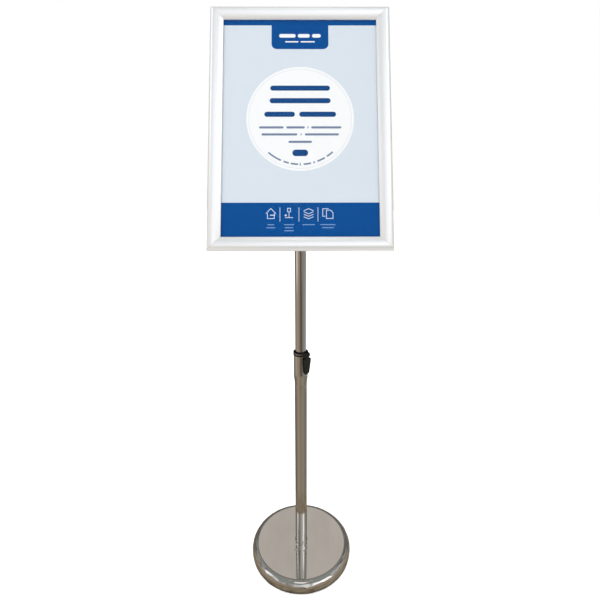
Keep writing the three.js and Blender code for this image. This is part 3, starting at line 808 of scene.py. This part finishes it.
def tilt_bolt():
    head = hex_head(TILT_BOLT["head"], SEAT, SEAT + TILT_BOLT["thick"])
    moved(head, Matrix.Rotation(-math.pi / 2, 4, "Y"))
    shank = [(0, -SEAT - 1), (TILT_BOLT["shank"], -SEAT - 1), (TILT_BOLT["shank"], TILT_BOLT["end"] - 0.8)]
    shank += [(TILT_BOLT["shank"] - 0.8, TILT_BOLT["end"]), (0, TILT_BOLT["end"])]
    return bevelled(combined(head, ("UNION", moved(lathe(shank, 48), ALONG_X))), 0.2, 2)


def tilt_knob():
    """A round knob with shallow flutes, a domed end and a blind socket for its insert."""
    radius, low, high = KNOB["radius"], SEAT, SEAT + KNOB["depth"]
    socket_top = low + KNOB["socket_depth"]

    def fluted(angle, r, z):
        if r < radius - 4 or z < low + 0.5:
            return r
        wave = 0.5 + 0.5 * math.cos(KNOB["flutes"] * angle)
        return r - 1.5 * (1 - wave) ** 3 * min(1, (r - radius + 4) / 3)

    profile = [(0, socket_top), (KNOB["socket"], socket_top), (KNOB["socket"], low)]
    profile += [(radius - 3.4, low), (radius - 3, low + 0.2)]
    profile += [(radius - 3 + 3 * t, low + 0.2 + 2.8 * t**1.5) for t in (0.25, 0.5, 0.75, 1)]
    profile += [(radius, high - 3.5), *arc(radius - 2.5, high - 2.8, 2.5, 2.5, 0, 80, 8)]
    profile += [(r, high - 0.3 + 0.3 * (1 - (r / (radius - 2)) ** 2)) for r in (10, 8, 6, 4, 2)]
    profile.append((0, high))
    return moved(lathe(profile, 192, fluted), ALONG_X)


def tilt_washer(low):
    high = low + SMALL_WASHER["thick"]
    return moved(tube(SMALL_WASHER["radius"], TILT_BOLT["hole"], low, high, 0.2, 64), ALONG_X)


upper_tube = tube(UPPER_RADIUS, UPPER_RADIUS - UPPER_WALL, upper_low, upper_high, 0.4, 128)
left_washer = tilt_washer(-WASHER_START - SMALL_WASHER["thick"])
add_piece("upper_tube", upper_tube, "mast", tube_steel)
add_piece("head_fitting", head_fitting(), "mast", zinc)
add_piece("tilt_bolt", tilt_bolt(), "mast", zinc, HEAD)
add_piece("tilt_washer_left", left_washer, "mast", zinc, HEAD)
add_piece("tilt_washer_right", tilt_washer(WASHER_START), "mast", zinc, HEAD)
add_piece("tilt_knob", tilt_knob(), "knob", black, HEAD)

# ---- Bracket and plate behind the sign -------------------------------------------------


def tilt_bracket():
    """A disc with two lugs that hold the tongue between them."""
    disc = moved(rod(DISC["radius"], DISC_BACK, DISC_BACK + DISC["thick"], 96), TO_FRONT)
    reach = -DISC_BACK - 1
    outline = arc(0, 0, TONGUE["round"], TONGUE["round"], 90, -90, 32)
    outline += [(reach, -TONGUE["round"] - 3), (reach, TONGUE["round"] + 3)]
    start = TONGUE["half"] + GAP
    lugs = [moved(prism(outline, low, low + DISC["lug"]), AS_SIDE) for low in (start, -start - DISC["lug"])]
    bolt_hole = moved(rod(TILT_BOLT["hole"], -30, 30), ALONG_X)
    pivot_hole = moved(rod(PIVOT["hole"], 0, 40), TO_FRONT)
    joined = [("UNION", lug) for lug in lugs]
    whole = combined(disc, *joined, ("DIFFERENCE", bolt_hole), ("DIFFERENCE", pivot_hole))
    return bevelled(whole, 0.4)


def plate_corners():
    h = PLATE["holes"]
    return [(-h, h), (h, h), (h, -h), (-h, -h)]


def mount_plate():
    """The square plate on the sign's back, with the hub that the pivot bolt runs in."""
    front = PLATE_BACK + PLATE["thick"]
    square = prism(box_outline(PLATE["size"], PLATE["size"], PLATE["corner"], steps=10), PLATE_BACK, front)
    hub = rod(PLATE["hub"], PLATE_BACK + 1, front + GAP + 0.9, 64)
    holes = [rod(PIVOT["hole"], 0, 60)]
    holes += [shifted(rod(RIVET["hole"], 0, 60, 32), x, y, 0) for x, y in plate_corners()]
    whole = combined(square, ("UNION", hub), *[("DIFFERENCE", hole) for hole in holes])
    return moved(bevelled(whole, 0.45), TO_FRONT)


def plate_rivet(x, y):
    """A domed rivet with a small dimple, its shank run through the plate and the panel."""
    seat = PLATE_BACK - GAP
    dome = arc(0, seat, RIVET["radius"], RIVET["dome"], 0, -78, 10)
    profile = [(0, seat - RIVET["dome"] + 0.45), (0.8, seat - RIVET["dome"] + 0.15), *reversed(dome)]
    profile += [(1.9, seat), (1.9, SIGN["back"] + 2.8), (0, SIGN["back"] + 2.8)]
    return moved(shifted(lathe(profile, 48), x, y, 0), TO_FRONT)


def pivot_bolt():
    """The button-headed bolt that the sign turns on, with a hexagon socket."""
    seat = DISC_BACK - GAP - 1 - GAP
    low = seat - PIVOT["thick"]
    profile = [(0, low), *arc(PIVOT["head"] - 1.6, low + 1.6, 1.6, 1.6, -90, 0, 6), (PIVOT["head"], seat)]
    end = PLATE_BACK + PLATE["thick"] + 0.8
    profile += [(PIVOT["shank"], seat), (PIVOT["shank"], end - 0.5), (PIVOT["shank"] - 0.5, end), (0, end)]
    key = prism(arc(0, 0, 2.3, 2.3, 0, 300, 5), low - 1, low + 1.8)
    return moved(cut(lathe(profile, 64), key), TO_FRONT)


swivel = tube(SWIVEL_WASHER["radius"], PIVOT["hole"], WASHER_BACK, WASHER_BACK + SWIVEL_WASHER["thick"], 0.2)
spring_washer = tube(PIVOT["washer"], PIVOT["hole"], DISC_BACK - 1.3, DISC_BACK - 0.3, 0.2, 64)
add_piece("tilt_bracket", tilt_bracket(), "bracket", zinc, ON_SIGN)
add_piece("swivel_washer", moved(swivel, TO_FRONT), "bracket", nylon, ON_SIGN)
add_piece("pivot_spring_washer", moved(spring_washer, TO_FRONT), "bracket", zinc, ON_SIGN)
add_piece("pivot_bolt", pivot_bolt(), "bracket", zinc, ON_SIGN)
add_piece("mount_plate", mount_plate(), "sign", zinc, ON_SIGN)
for number, (x, y) in enumerate(plate_corners(), 1):
    add_piece(f"plate_rivet_{number}", plate_rivet(x, y), "sign", zinc, ON_SIGN)

# ---- Snap frame ------------------------------------------------------------------------

MITRE_GAP = 0.12
BASE_RAIL = [
    (0.5, 0), (24, 0), (24, 1.6), (13, 1.6), (13, 4.4), (11.6, 4.4), (11.6, 1.6),
    (3.8, 1.6), (3.8, 5.6), (2.3, 5.6), (2.3, 1.9), (0.5, 1.9),
]
SNAP = {
    "width": 25, "crown": 9, "edge": 7, "wall": 1.4, "lip": 1.6, "lip_under": 4.65, "foot": 2.2, "spring": 4,
}
SPRING_PATH = [(4.4, 3.6), (5.2, 2.2), (7, 1.95), (9.2, 3.2), (10.9, 6.2), (10.2, 8.8)]
SPRING = {"width": 16, "thick": 0.5, "spread": 0.27}
SIDES = [
    ("bottom", SIGN["width"], SIGN["height"] / 2, 0),
    ("left", SIGN["height"], SIGN["width"] / 2, 90),
    ("top", SIGN["width"], SIGN["height"] / 2, 180),
    ("right", SIGN["height"], SIGN["width"] / 2, -90),
]


def snap_rail_section():
    """The convex front rail: a quarter ellipse up to its crown, then a gentle fall to its lip."""
    crown, depth, spring, edge = SNAP["crown"], SIGN["depth"], SNAP["spring"], SNAP["edge"]

    def skin(inset, end):
        rise = arc(crown, spring, crown - 0.2 - inset, depth - spring - inset, 180, 90, 22)
        steps = [i / 18 for i in range(1, 19)]
        fall = [(crown + (end - crown) * t, depth - inset - (depth - edge) * t * t) for t in steps]
        return rise + fall

    width, lip, low = SNAP["width"], SNAP["lip"], SNAP["lip_under"]
    front = skin(0, width)
    tip = rounded([front[-2], front[-1], (width, low), (width - lip, low)], 0.7, 5)
    tip = [p for p in tip if p[0] > width - 1.2]
    inside = skin(SNAP["wall"], width - lip)
    foot, foot_end = SNAP["foot"], 0.2 + SNAP["wall"]
    sole = [(foot_end, foot + 0.3), (foot_end - 0.3, foot), (0.5, foot)]
    return [(0.2, foot + 0.3), *front[:-1], *tip, (width - lip, low), *reversed(inside), *sole]


def mitred(section, length):
    """A rail whose two ends are cut at 45 degrees: each point stops short by its inset."""
    ends = []
    for sign in (-1, 1):
        ends.append([(x, y, sign * (length / 2 - x - MITRE_GAP)) for x, y in section])
    return loft(ends)


def strip(path, thick):
    """A strip of constant thickness along a path that is first smoothed."""
    points = [Vector(p) for p in between_sections([Vector((*p, 0)) for p in path], 6)]
    offset = []
    for i, point in enumerate(points):
        along = (points[min(i + 1, len(points) - 1)] - points[max(i - 1, 0)]).normalized()
        offset.append((point.x - along.y * thick, point.y + along.x * thick))
    return [(p.x, p.y) for p in points] + offset[::-1]


def side_place(half, turn):
    """From (inset, depth, along) in millimetres to one side of the frame, in metres."""
    rotation = Matrix(((0, 0, 1, 0), (0, -1, 0, -SIGN["back"] * MM), (1, 0, 0, -half * MM), (0, 0, 0, 1)))
    return ON_SIGN @ Matrix.Rotation(math.radians(turn), 4, "Y") @ rotation


for side, length, half, turn in SIDES:
    place = side_place(half, turn)
    base_rail = mitred(rounded(BASE_RAIL, 0.25, 2), length)
    add_piece(f"base_rail_{side}", base_rail, "sign", aluminium, place)
    snap_rail = mitred(snap_rail_section(), length)
    add_piece(f"snap_rail_{side}", snap_rail, f"snap_{side}", aluminium, place)
    for number, end in enumerate((-1, 1), 1):
        centre, reach = end * length * SPRING["spread"], SPRING["width"] / 2
        leaf = prism(strip(SPRING_PATH, SPRING["thick"]), centre - reach, centre + reach)
        add_piece(f"leaf_spring_{side}_{number}", leaf, "sign", blued, place)

# ---- Printed sheet ---------------------------------------------------------------------
# The print is generic: blank bars stand for every line of text. Heights are on the sign,
# from its middle, and each layer of ink is a thin film in the space under the cover sheet.

OPEN_TOP = SIGN["height"] / 2 - SNAP["width"]  # the visible sheet's upper edge
BAND_TOP = OPEN_TOP - 340.5
FIRST_LAYER = (SHEET["front"] + 0.01, SHEET["front"] + 0.05)
SECOND_LAYER = (SHEET["front"] + 0.07, SHEET["front"] + 0.11)
BADGE = {"radius": 97, "z": 15, "ring": 92.5, "curved_line": 85}
TAB = {"half": 52, "bar": 9.3, "drop": 55, "corner": 10}  # the tab under the blue bar at the top


class Film:
    """Flat printed shapes of one ink in one layer."""

    def __init__(self, layer):
        self.bm = bmesh.new()
        self.low = SIGN["back"] + layer[0]
        self.high = SIGN["back"] + layer[1]

    def area(self, outline):
        prism(outline, self.low, self.high, self.bm)

    def bar(self, x, z, width, height):
        self.area(box_outline(width, height, min(width, height) * 0.48, x, z, 5))

    def words(self, x, z, height, widths, space):
        """A centred line of bars, one for each word."""
        left = x - (sum(widths) + space * (len(widths) - 1)) / 2
        for width in widths:
            self.bar(left + width / 2, z, width, height)
            left += width + space

    def stroke(self, points, width, closed=False):
        """A line of constant width through the points, mitred at each."""
        points = [Vector(p) for p in points]
        count = len(points)
        sides = []
        for i, point in enumerate(points):
            before = point - points[i - 1] if closed or i > 0 else points[1] - point
            after = points[(i + 1) % count] - point if closed or i < count - 1 else before
            along = before.normalized() + after.normalized()
            normal = Vector((-along.y, along.x)).normalized()
            reach = width / 2 / max(0.4, normal.dot(Vector((-after.y, after.x)).normalized()))
            sides.append((point + normal * reach, point - normal * reach))
        rows = [[self.bm.verts.new((*p, z)) for p in pair for z in (self.low, self.high)] for pair in sides]
        faces = []
        for i in range(count if closed else count - 1):
            a, b = rows[i], rows[(i + 1) % count]
            for k, m in ((0, 1), (1, 3), (3, 2), (2, 0)):
                faces.append(self.bm.faces.new((a[k], a[m], b[m], b[k])))
        if not closed:
            for row in (rows[0], rows[-1]):
                faces.append(self.bm.faces.new((row[0], row[1], row[3], row[2])))
        bmesh.ops.recalc_face_normals(self.bm, faces=faces)

    def add(self, name, material):
        add_piece(None, moved(self.bm, TO_FRONT), "sign", material, ON_SIGN, name=name)


def ring_points(radius, z, count=96):
    return arc(0, z, radius, radius, 0, 360 - 360 / count, count - 1)


def print_blue():
    """The bar along the top, the tab under it, and the band along the bottom."""
    film = Film(FIRST_LAYER)
    half, edge, tab = SHEET["width"] / 2, SHEET["height"] / 2, TAB["half"]
    bar_bottom = OPEN_TOP - TAB["bar"]
    lower_edge = [(-half, bar_bottom), (-tab, bar_bottom), (tab, bar_bottom), (half, bar_bottom)]
    film.area([*lower_edge, (half, edge), (-half, edge)])
    corner, tab_bottom = TAB["corner"], OPEN_TOP - TAB["drop"]
    outline = [(tab, bar_bottom - 0.02), (-tab, bar_bottom - 0.02)]
    outline += arc(-tab + corner, tab_bottom + corner, corner, corner, 180, 270, 10)
    outline += arc(tab - corner, tab_bottom + corner, corner, corner, 270, 360, 10)
    film.area(outline)
    film.area([(-half, -edge), (half, -edge), (half, BAND_TOP), (-half, BAND_TOP)])
    film.add("print_blue_bands", ink_blue)


def print_badge():
    disc = Film(FIRST_LAYER)
    disc.area(ring_points(BADGE["radius"], BADGE["z"]))
    disc.add("print_white_badge", ink_white)
    rim = Film(SECOND_LAYER)
    rim.stroke(ring_points(BADGE["ring"], BADGE["z"]), 0.7, True)
    rim.add("print_badge_rim", ink_faint)


CURVED_WORDS = [
    (-42, -24), (-20.5, -14), (-11.5, -2.5), (-0.6, 0.6), (4, 13), (16, 18), (21, 31), (34, 43),
]  # degrees from the bottom of the badge


def print_badge_lines():
    """Bars in place of the heading, of the small lines, and of the words along the badge's edge."""
    bold = Film(SECOND_LAYER)
    bold.words(0, 71.6, 9.5, [108], 0)
    bold.words(0, 48, 9.5, [110], 0)
    bold.words(0, 22.5, 9.5, [55, 66], 8)
    bold.words(0, -49, 12, [28], 0)
    bold.add("print_heading_bars", ink_navy)
    fine = Film(SECOND_LAYER)
    fine.words(0, -2, 4, [44, 33, 1.6, 54], 5)
    fine.words(0, -15, 4, [64, 1.6, 61], 6)
    fine.words(0, -28.7, 4, [42], 0)
    fine.add("print_small_bars", ink_slate)
    curved = Film(SECOND_LAYER)
    radius = BADGE["curved_line"]
    for start, end in CURVED_WORDS:
        path = arc(0, BADGE["z"], radius, radius, 270 + start, 270 + end, 8)
        curved.stroke(path, 3 if end - start > 1.5 else 5)
    curved.add("print_curved_bars", ink_slate)


def print_tab_lines():
    film = Film(SECOND_LAYER)
    film.words(0, 171.5, 7, [30, 22, 16], 4)
    film.words(0, 160, 2.4, [24, 26], 4)
    film.add("print_tab_bars", ink_white)


ICON_LINE = 1.15
ICON_Z = BAND_TOP - 19.5


def house_icon(film, x):
    roof = [(x - 9, ICON_Z - 0.5), (x, ICON_Z + 9), (x + 9, ICON_Z - 0.5)]
    film.stroke(roof, ICON_LINE)
    walls = [(x - 6, ICON_Z + 0.5), (x - 6, ICON_Z - 9), (x + 6, ICON_Z - 9), (x + 6, ICON_Z + 0.5)]
    film.stroke(walls, ICON_LINE)
    film.bar(x + 3, ICON_Z - 3, 9, 1.6)


def stand_icon(film, x):
    low, high = ICON_Z + 3, ICON_Z + 9.4
    film.stroke([(x - 2.6, low), (x - 2.6, high), (x + 2.6, high), (x + 2.6, low)], ICON_LINE, True)
    film.stroke([(x, ICON_Z + 1.8), (x, ICON_Z - 6.4)], ICON_LINE)
    film.stroke([(x - 7, ICON_Z - 7.4), (x + 7, ICON_Z - 7.4)], ICON_LINE)
    film.area([(x - 8.4, ICON_Z - 4.6), (x - 3.4, ICON_Z - 4.6), (x - 5.9, ICON_Z - 0.8)])


def sheets_icon(film, x):
    for lift in (-6, -1.5, 3):
        diamond = [(x - 8.5, ICON_Z + lift), (x, ICON_Z + lift - 3.6), (x + 8.5, ICON_Z + lift)]
        film.stroke(diamond, ICON_LINE)
    film.stroke([(x - 8.5, ICON_Z + 4.9), (x, ICON_Z + 8.6), (x + 8.5, ICON_Z + 4.9)], ICON_LINE)


def pages_icon(film, x):
    back = [(x + 1.5, ICON_Z + 8.5), (x - 9, ICON_Z + 8.5), (x - 9, ICON_Z - 5), (x - 4.5, ICON_Z - 5)]
    film.stroke(back, ICON_LINE)
    front = [(x - 2.5, ICON_Z - 9), (x - 2.5, ICON_Z + 6), (x + 4.5, ICON_Z + 6)]
    front += [(x + 9, ICON_Z + 1.5), (x + 9, ICON_Z - 9)]
    film.stroke(front, ICON_LINE, True)


def print_icons():
    film = Film(SECOND_LAYER)
    for x, icon in ((-52, house_icon), (-20, stand_icon), (14.5, sheets_icon), (48.5, pages_icon)):
        icon(film, x)
    for x in (-36, -2.5, 31):
        film.stroke([(x, BAND_TOP - 8.5), (x, BAND_TOP - 34)], 0.9)
    film.add("print_icons", ink_pale)
    captions = Film(SECOND_LAYER)
    for x, widths in ((-52, (12, 16)), (-20, (18, 15, 17)), (14.5, (22,)), (48.5, (27, 21))):
        for row, width in enumerate(widths):
            captions.bar(x, BAND_TOP - 39.5 - 5.4 * row, width, 1.5)
    captions.add("print_caption_bars", ink_sky)


print_blue()
print_badge()
print_badge_lines()
print_tab_lines()
print_icons()

# ---- CAD nodes that keep their own shape -----------------------------------------------

KEPT_FINISHES = {
    "base_weight": iron,
    "base_bolt": zinc,
    "base_bolt_washer": zinc,
    "foot_plug": zinc,
    "lever_pin": blackened,
    "clamp_shoe": black,
    "guide_plug": nylon,
    "tilt_knob_insert": brass,
    "corner_bracket_bottom_left": zinc,
    "corner_bracket_bottom_right": zinc,
    "corner_bracket_top_right": zinc,
    "corner_bracket_top_left": zinc,
    "back_panel": galvanised,
    "poster": paper,
    "cover_sheet": clear,
}
for node, material in KEPT_FINISHES.items():
    mesh = frame["nodes"][node].data
    mesh.materials.clear()
    mesh.materials.append(material)

# ---- Studio ----------------------------------------------------------------------------


def only_reflected(obj):
    """Keeps a stage object out of everything but mirror images."""
    obj.visible_camera = False
    obj.visible_diffuse = False
    obj.visible_transmission = False
    obj.visible_shadow = False


def stage_object(name, bm, material):
    mesh = bpy.data.meshes.new(name)
    bm.to_mesh(mesh)
    bm.free()
    mesh.materials.append(material)
    obj = bpy.data.objects.new(name, mesh)
    bpy.context.scene.collection.objects.link(obj)
    return obj


FLOOR_FILL = 0.5  # keeps the shadow on the pale floor faint


def add_floor():
    finish = Finish("studio_floor", specular_ior_level=0.1)
    finish.colour(finish.noise((3, 3, 3)), (0.985, 0.985, 0.985), (0.997, 0.997, 0.997))
    finish.shader.inputs["Roughness"].default_value = 0.9
    finish.shader.inputs["Emission Color"].default_value = (1, 1, 1, 1)
    finish.shader.inputs["Emission Strength"].default_value = FLOOR_FILL
    bm = bmesh.new()
    bmesh.ops.create_circle(bm, cap_ends=True, segments=96, radius=14)
    floor = stage_object("floor", bm, finish.material)
    floor.visible_glossy = False


def glow(finish, colour):
    """Turns the finish into a plain light source that takes its colour from the given socket."""
    emission = finish.node("ShaderNodeEmission", {"Color": colour, "Strength": 1.0})
    output = finish.tree.nodes["Material Output"]
    finish.tree.links.new(emission.outputs[0], output.inputs["Surface"])
    finish.material.cycles.emission_sampling = "NONE"


ROOM = 10  # radius of the mirrored room, in metres


def by_azimuth(finish, bands):
    """Colours round the stand, from (degrees from the front towards +X, colour) pairs."""
    parts = finish.node("ShaderNodeSeparateXYZ", {0: finish.coordinates})
    back = finish.maths("MULTIPLY", parts.outputs["Y"], -1.0)
    turn = finish.maths("ARCTAN2", parts.outputs["X"], back)
    around = finish.between(turn, 0.0, 1.0, (-math.pi, math.pi))
    return finish.ramp(around, [((degrees + 180) / 360, colour) for degrees, colour in bands])


# What the polished steel mirrors: (degrees from the front towards +X, colour) pairs.
NEAR_FLOOR = [
    (-180, (0.20, 0.18, 0.15)), (-125, (0.20, 0.18, 0.15)), (-100, (0.21, 0.18, 0.15)),
    (-72, (0.36, 0.30, 0.24)), (-50, (0.46, 0.39, 0.31)), (-28, (0.39, 0.31, 0.245)),
    (10, (0.35, 0.30, 0.225)), (50, (0.37, 0.33, 0.27)), (75, (0.29, 0.265, 0.23)),
    (105, (0.26, 0.25, 0.22)), (150, (0.36, 0.34, 0.31)), (180, (0.20, 0.18, 0.15)),
]
MIDDLE_FLOOR = [
    (-180, (0.30, 0.28, 0.25)), (-100, (0.34, 0.31, 0.27)), (-74, (0.53, 0.47, 0.40)),
    (-50, (0.41, 0.34, 0.285)), (-20, (0.37, 0.31, 0.24)), (-8, (0.16, 0.13, 0.105)),
    (24, (0.14, 0.12, 0.09)), (34, (0.34, 0.31, 0.28)), (64, (0.353, 0.347, 0.32)),
    (92, (0.42, 0.425, 0.436)), (125, (0.60, 0.63, 0.66)), (180, (0.45, 0.45, 0.45)),
]
FAR_FLOOR = [
    (-180, (0.22, 0.20, 0.18)), (-105, (0.22, 0.20, 0.18)), (-86, (0.95, 0.88, 0.82)),
    (-64, (0.95, 0.88, 0.82)), (-52, (0.48, 0.40, 0.35)), (-20, (0.44, 0.38, 0.31)),
    (-9, (0.15, 0.12, 0.10)), (14, (0.18, 0.155, 0.125)), (30, (0.36, 0.335, 0.31)),
    (64, (0.35, 0.345, 0.32)), (92, (0.43, 0.44, 0.44)), (180, (0.54, 0.57, 0.58)),
]
FLOOR_STREAKS = [(0.35, (0.19, 0.155, 0.11)), (0.5, (0.31, 0.26, 0.19)), (0.66, (0.38, 0.32, 0.245))]


def cool(level):
    return (0.96 * level, level, 1.05 * level)


DIM = (0.33, 0.35, 0.34)
SKIRTING_BROWN = (0.42, 0.36, 0.27)
SKIRTING_SHADE = (0.17, 0.17, 0.16)
CEILING = (0.33, 0.355, 0.345, 1)
WALLS = [
    (-180, DIM), (-115, DIM), (-96, cool(0.40)), (-84, cool(1.5)), (-64, cool(1.5)),
    (-52, cool(0.95)), (-30, cool(0.38)), (-14, cool(0.72)), (11, cool(1.05)), (34, cool(1.3)),
    (44, cool(1.9)), (60, cool(1.9)), (70, cool(0.7)), (100, cool(0.55)), (115, DIM), (180, DIM),
]
SKIRTING = [
    (-180, SKIRTING_SHADE), (-128, SKIRTING_SHADE), (-108, SKIRTING_BROWN),
    (108, SKIRTING_BROWN), (128, SKIRTING_SHADE), (180, SKIRTING_SHADE),
]
# Round patches, each over the ones before it: azimuth, elevation, the degrees within which it is
# full and beyond which it is gone, and its colour.
PATCHES = [
    (0, 78, 6, 9, (1.3, 1.3, 1.3, 1)),  # a lamp high up in front
    (1, 8, 5, 8, (0.05, 0.05, 0.05, 1)),  # someone dark standing in front
    (180, 46, 24, 27, (0.24, 0.23, 0.22, 1)),  # the dark surround of the next
    (180, 46, 14, 17, (0.65, 0.62, 0.585, 1)),  # a beige wall behind
]


def add_room_floor():
    """The warm floor that the polished steel mirrors, with different soft bands near and far, and a painted
    shadow round the base.
    """
    finish = Finish("mirrored_floor")
    near = by_azimuth(finish, NEAR_FLOOR)
    middle = by_azimuth(finish, MIDDLE_FLOOR)
    far = by_azimuth(finish, FAR_FLOOR)
    distance = finish.radius()
    streaks = finish.ramp(finish.noise((26, 26, 26), detail=3), FLOOR_STREAKS)
    beside = finish.mix(finish.between(distance, 0.0, 1.0, (0.16, 0.21)), streaks, near)
    inner = finish.mix(finish.between(distance, 0.0, 1.0, (0.75, 0.95)), beside, middle)
    outer = finish.mix(finish.between(distance, 0.0, 1.0, (2.2, 3.2)), inner, far)
    # Painted shadow: under the base and to about 10 mm beyond its rim, the mirrored floor is mixed mostly to
    # dark brown, as if the base shaded it.
    painted_shadow_near_base = finish.between(distance, 0.35, 1.0, (0.112, 0.122))
    glow(finish, finish.mix(painted_shadow_near_base, (0.03, 0.025, 0.02, 1), outer))
    bm = bmesh.new()
    bmesh.ops.create_circle(bm, cap_ends=True, segments=96, radius=0.9 * ROOM)
    floor = stage_object("mirrored_floor", bm, finish.material)
    floor.location.z = -0.001
    only_reflected(floor)


def patch(finish, direction, azimuth, elevation, full, gone):
    """1 within so many degrees of a direction in the room, falling to 0 further out."""
    flat = math.cos(math.radians(elevation))
    turn = math.radians(azimuth)
    centre = (math.sin(turn) * flat, -math.cos(turn) * flat, math.sin(math.radians(elevation)))
    nearness = finish.node("ShaderNodeVectorMath", {0: direction, 1: centre}, operation="DOT_PRODUCT")
    limits = (math.cos(math.radians(gone)), math.cos(math.radians(full)))
    return finish.between(nearness.outputs["Value"], 0.0, 1.0, limits)


def room_walls(finish, direction):
    """Walls with soft blotches at both sides, a skirting that is lower in front, and a ceiling."""
    parts = finish.node("ShaderNodeSeparateXYZ", {0: direction})
    height = parts.outputs["Z"]
    aside = finish.between(finish.maths("ABSOLUTE", parts.outputs["X"], 0), 0.0, 1.0, (0.16, 0.26))
    blotches = finish.between(finish.noise((0.5, 0.5, 0.35), detail=2), 0.4, 1.2, (0.43, 0.55))
    change = finish.maths("MULTIPLY", finish.maths("SUBTRACT", blotches, 1.0), aside)
    levels = {0: by_azimuth(finish, WALLS), "Scale": finish.maths("ADD", change, 1.0)}
    walls = finish.node("ShaderNodeVectorMath", levels, operation="SCALE").outputs[0]
    above = finish.maths("SUBTRACT", height, finish.maths("MULTIPLY", aside, 0.18))
    low = finish.between(above, 1.0, 0.0, (0.24, 0.37))
    skirted = finish.mix(low, walls, by_azimuth(finish, SKIRTING))
    return finish.mix(finish.between(height, 0.0, 1.0, (0.78, 0.86)), skirted, CEILING)


def add_room():
    """The soft room that the steel mirrors: lights in front and at the sides, beige wall behind."""
    finish = Finish("mirrored_room")
    direction = finish.scaled((1 / ROOM, 1 / ROOM, 1 / ROOM))
    colour = room_walls(finish, direction)
    for azimuth, elevation, full, gone, over in PATCHES:
        colour = finish.mix(patch(finish, direction, azimuth, elevation, full, gone), colour, over)
    glow(finish, colour)
    bm = bmesh.new()
    bmesh.ops.create_uvsphere(bm, u_segments=64, v_segments=32, radius=ROOM)
    only_reflected(stage_object("mirrored_room", bm, finish.material))


def add_light():
    world = bpy.data.worlds.new("studio")
    world.use_nodes = True
    world.node_tree.nodes["Background"].inputs["Color"].default_value = (1, 1, 1, 1)
    world.node_tree.nodes["Background"].inputs["Strength"].default_value = 1.0
    bpy.context.scene.world = world
    data = bpy.data.lights.new("soft_key", "AREA")
    data.shape = "RECTANGLE"
    data.size = 1.8
    data.size_y = 1.8
    data.energy = 12
    key = bpy.data.objects.new("soft_key", data)
    bpy.context.scene.collection.objects.link(key)
    key.location = (-1.4, -1.8, 2.6)
    key.rotation_euler = (Vector((0, 0, 0.6)) - key.location).to_track_quat("-Z", "Y").to_euler()
    key.visible_camera = False
    key.visible_glossy = False


add_floor()
add_room_floor()
add_room()
add_light()
bpy.context.scene.view_settings.view_transform = "Standard"
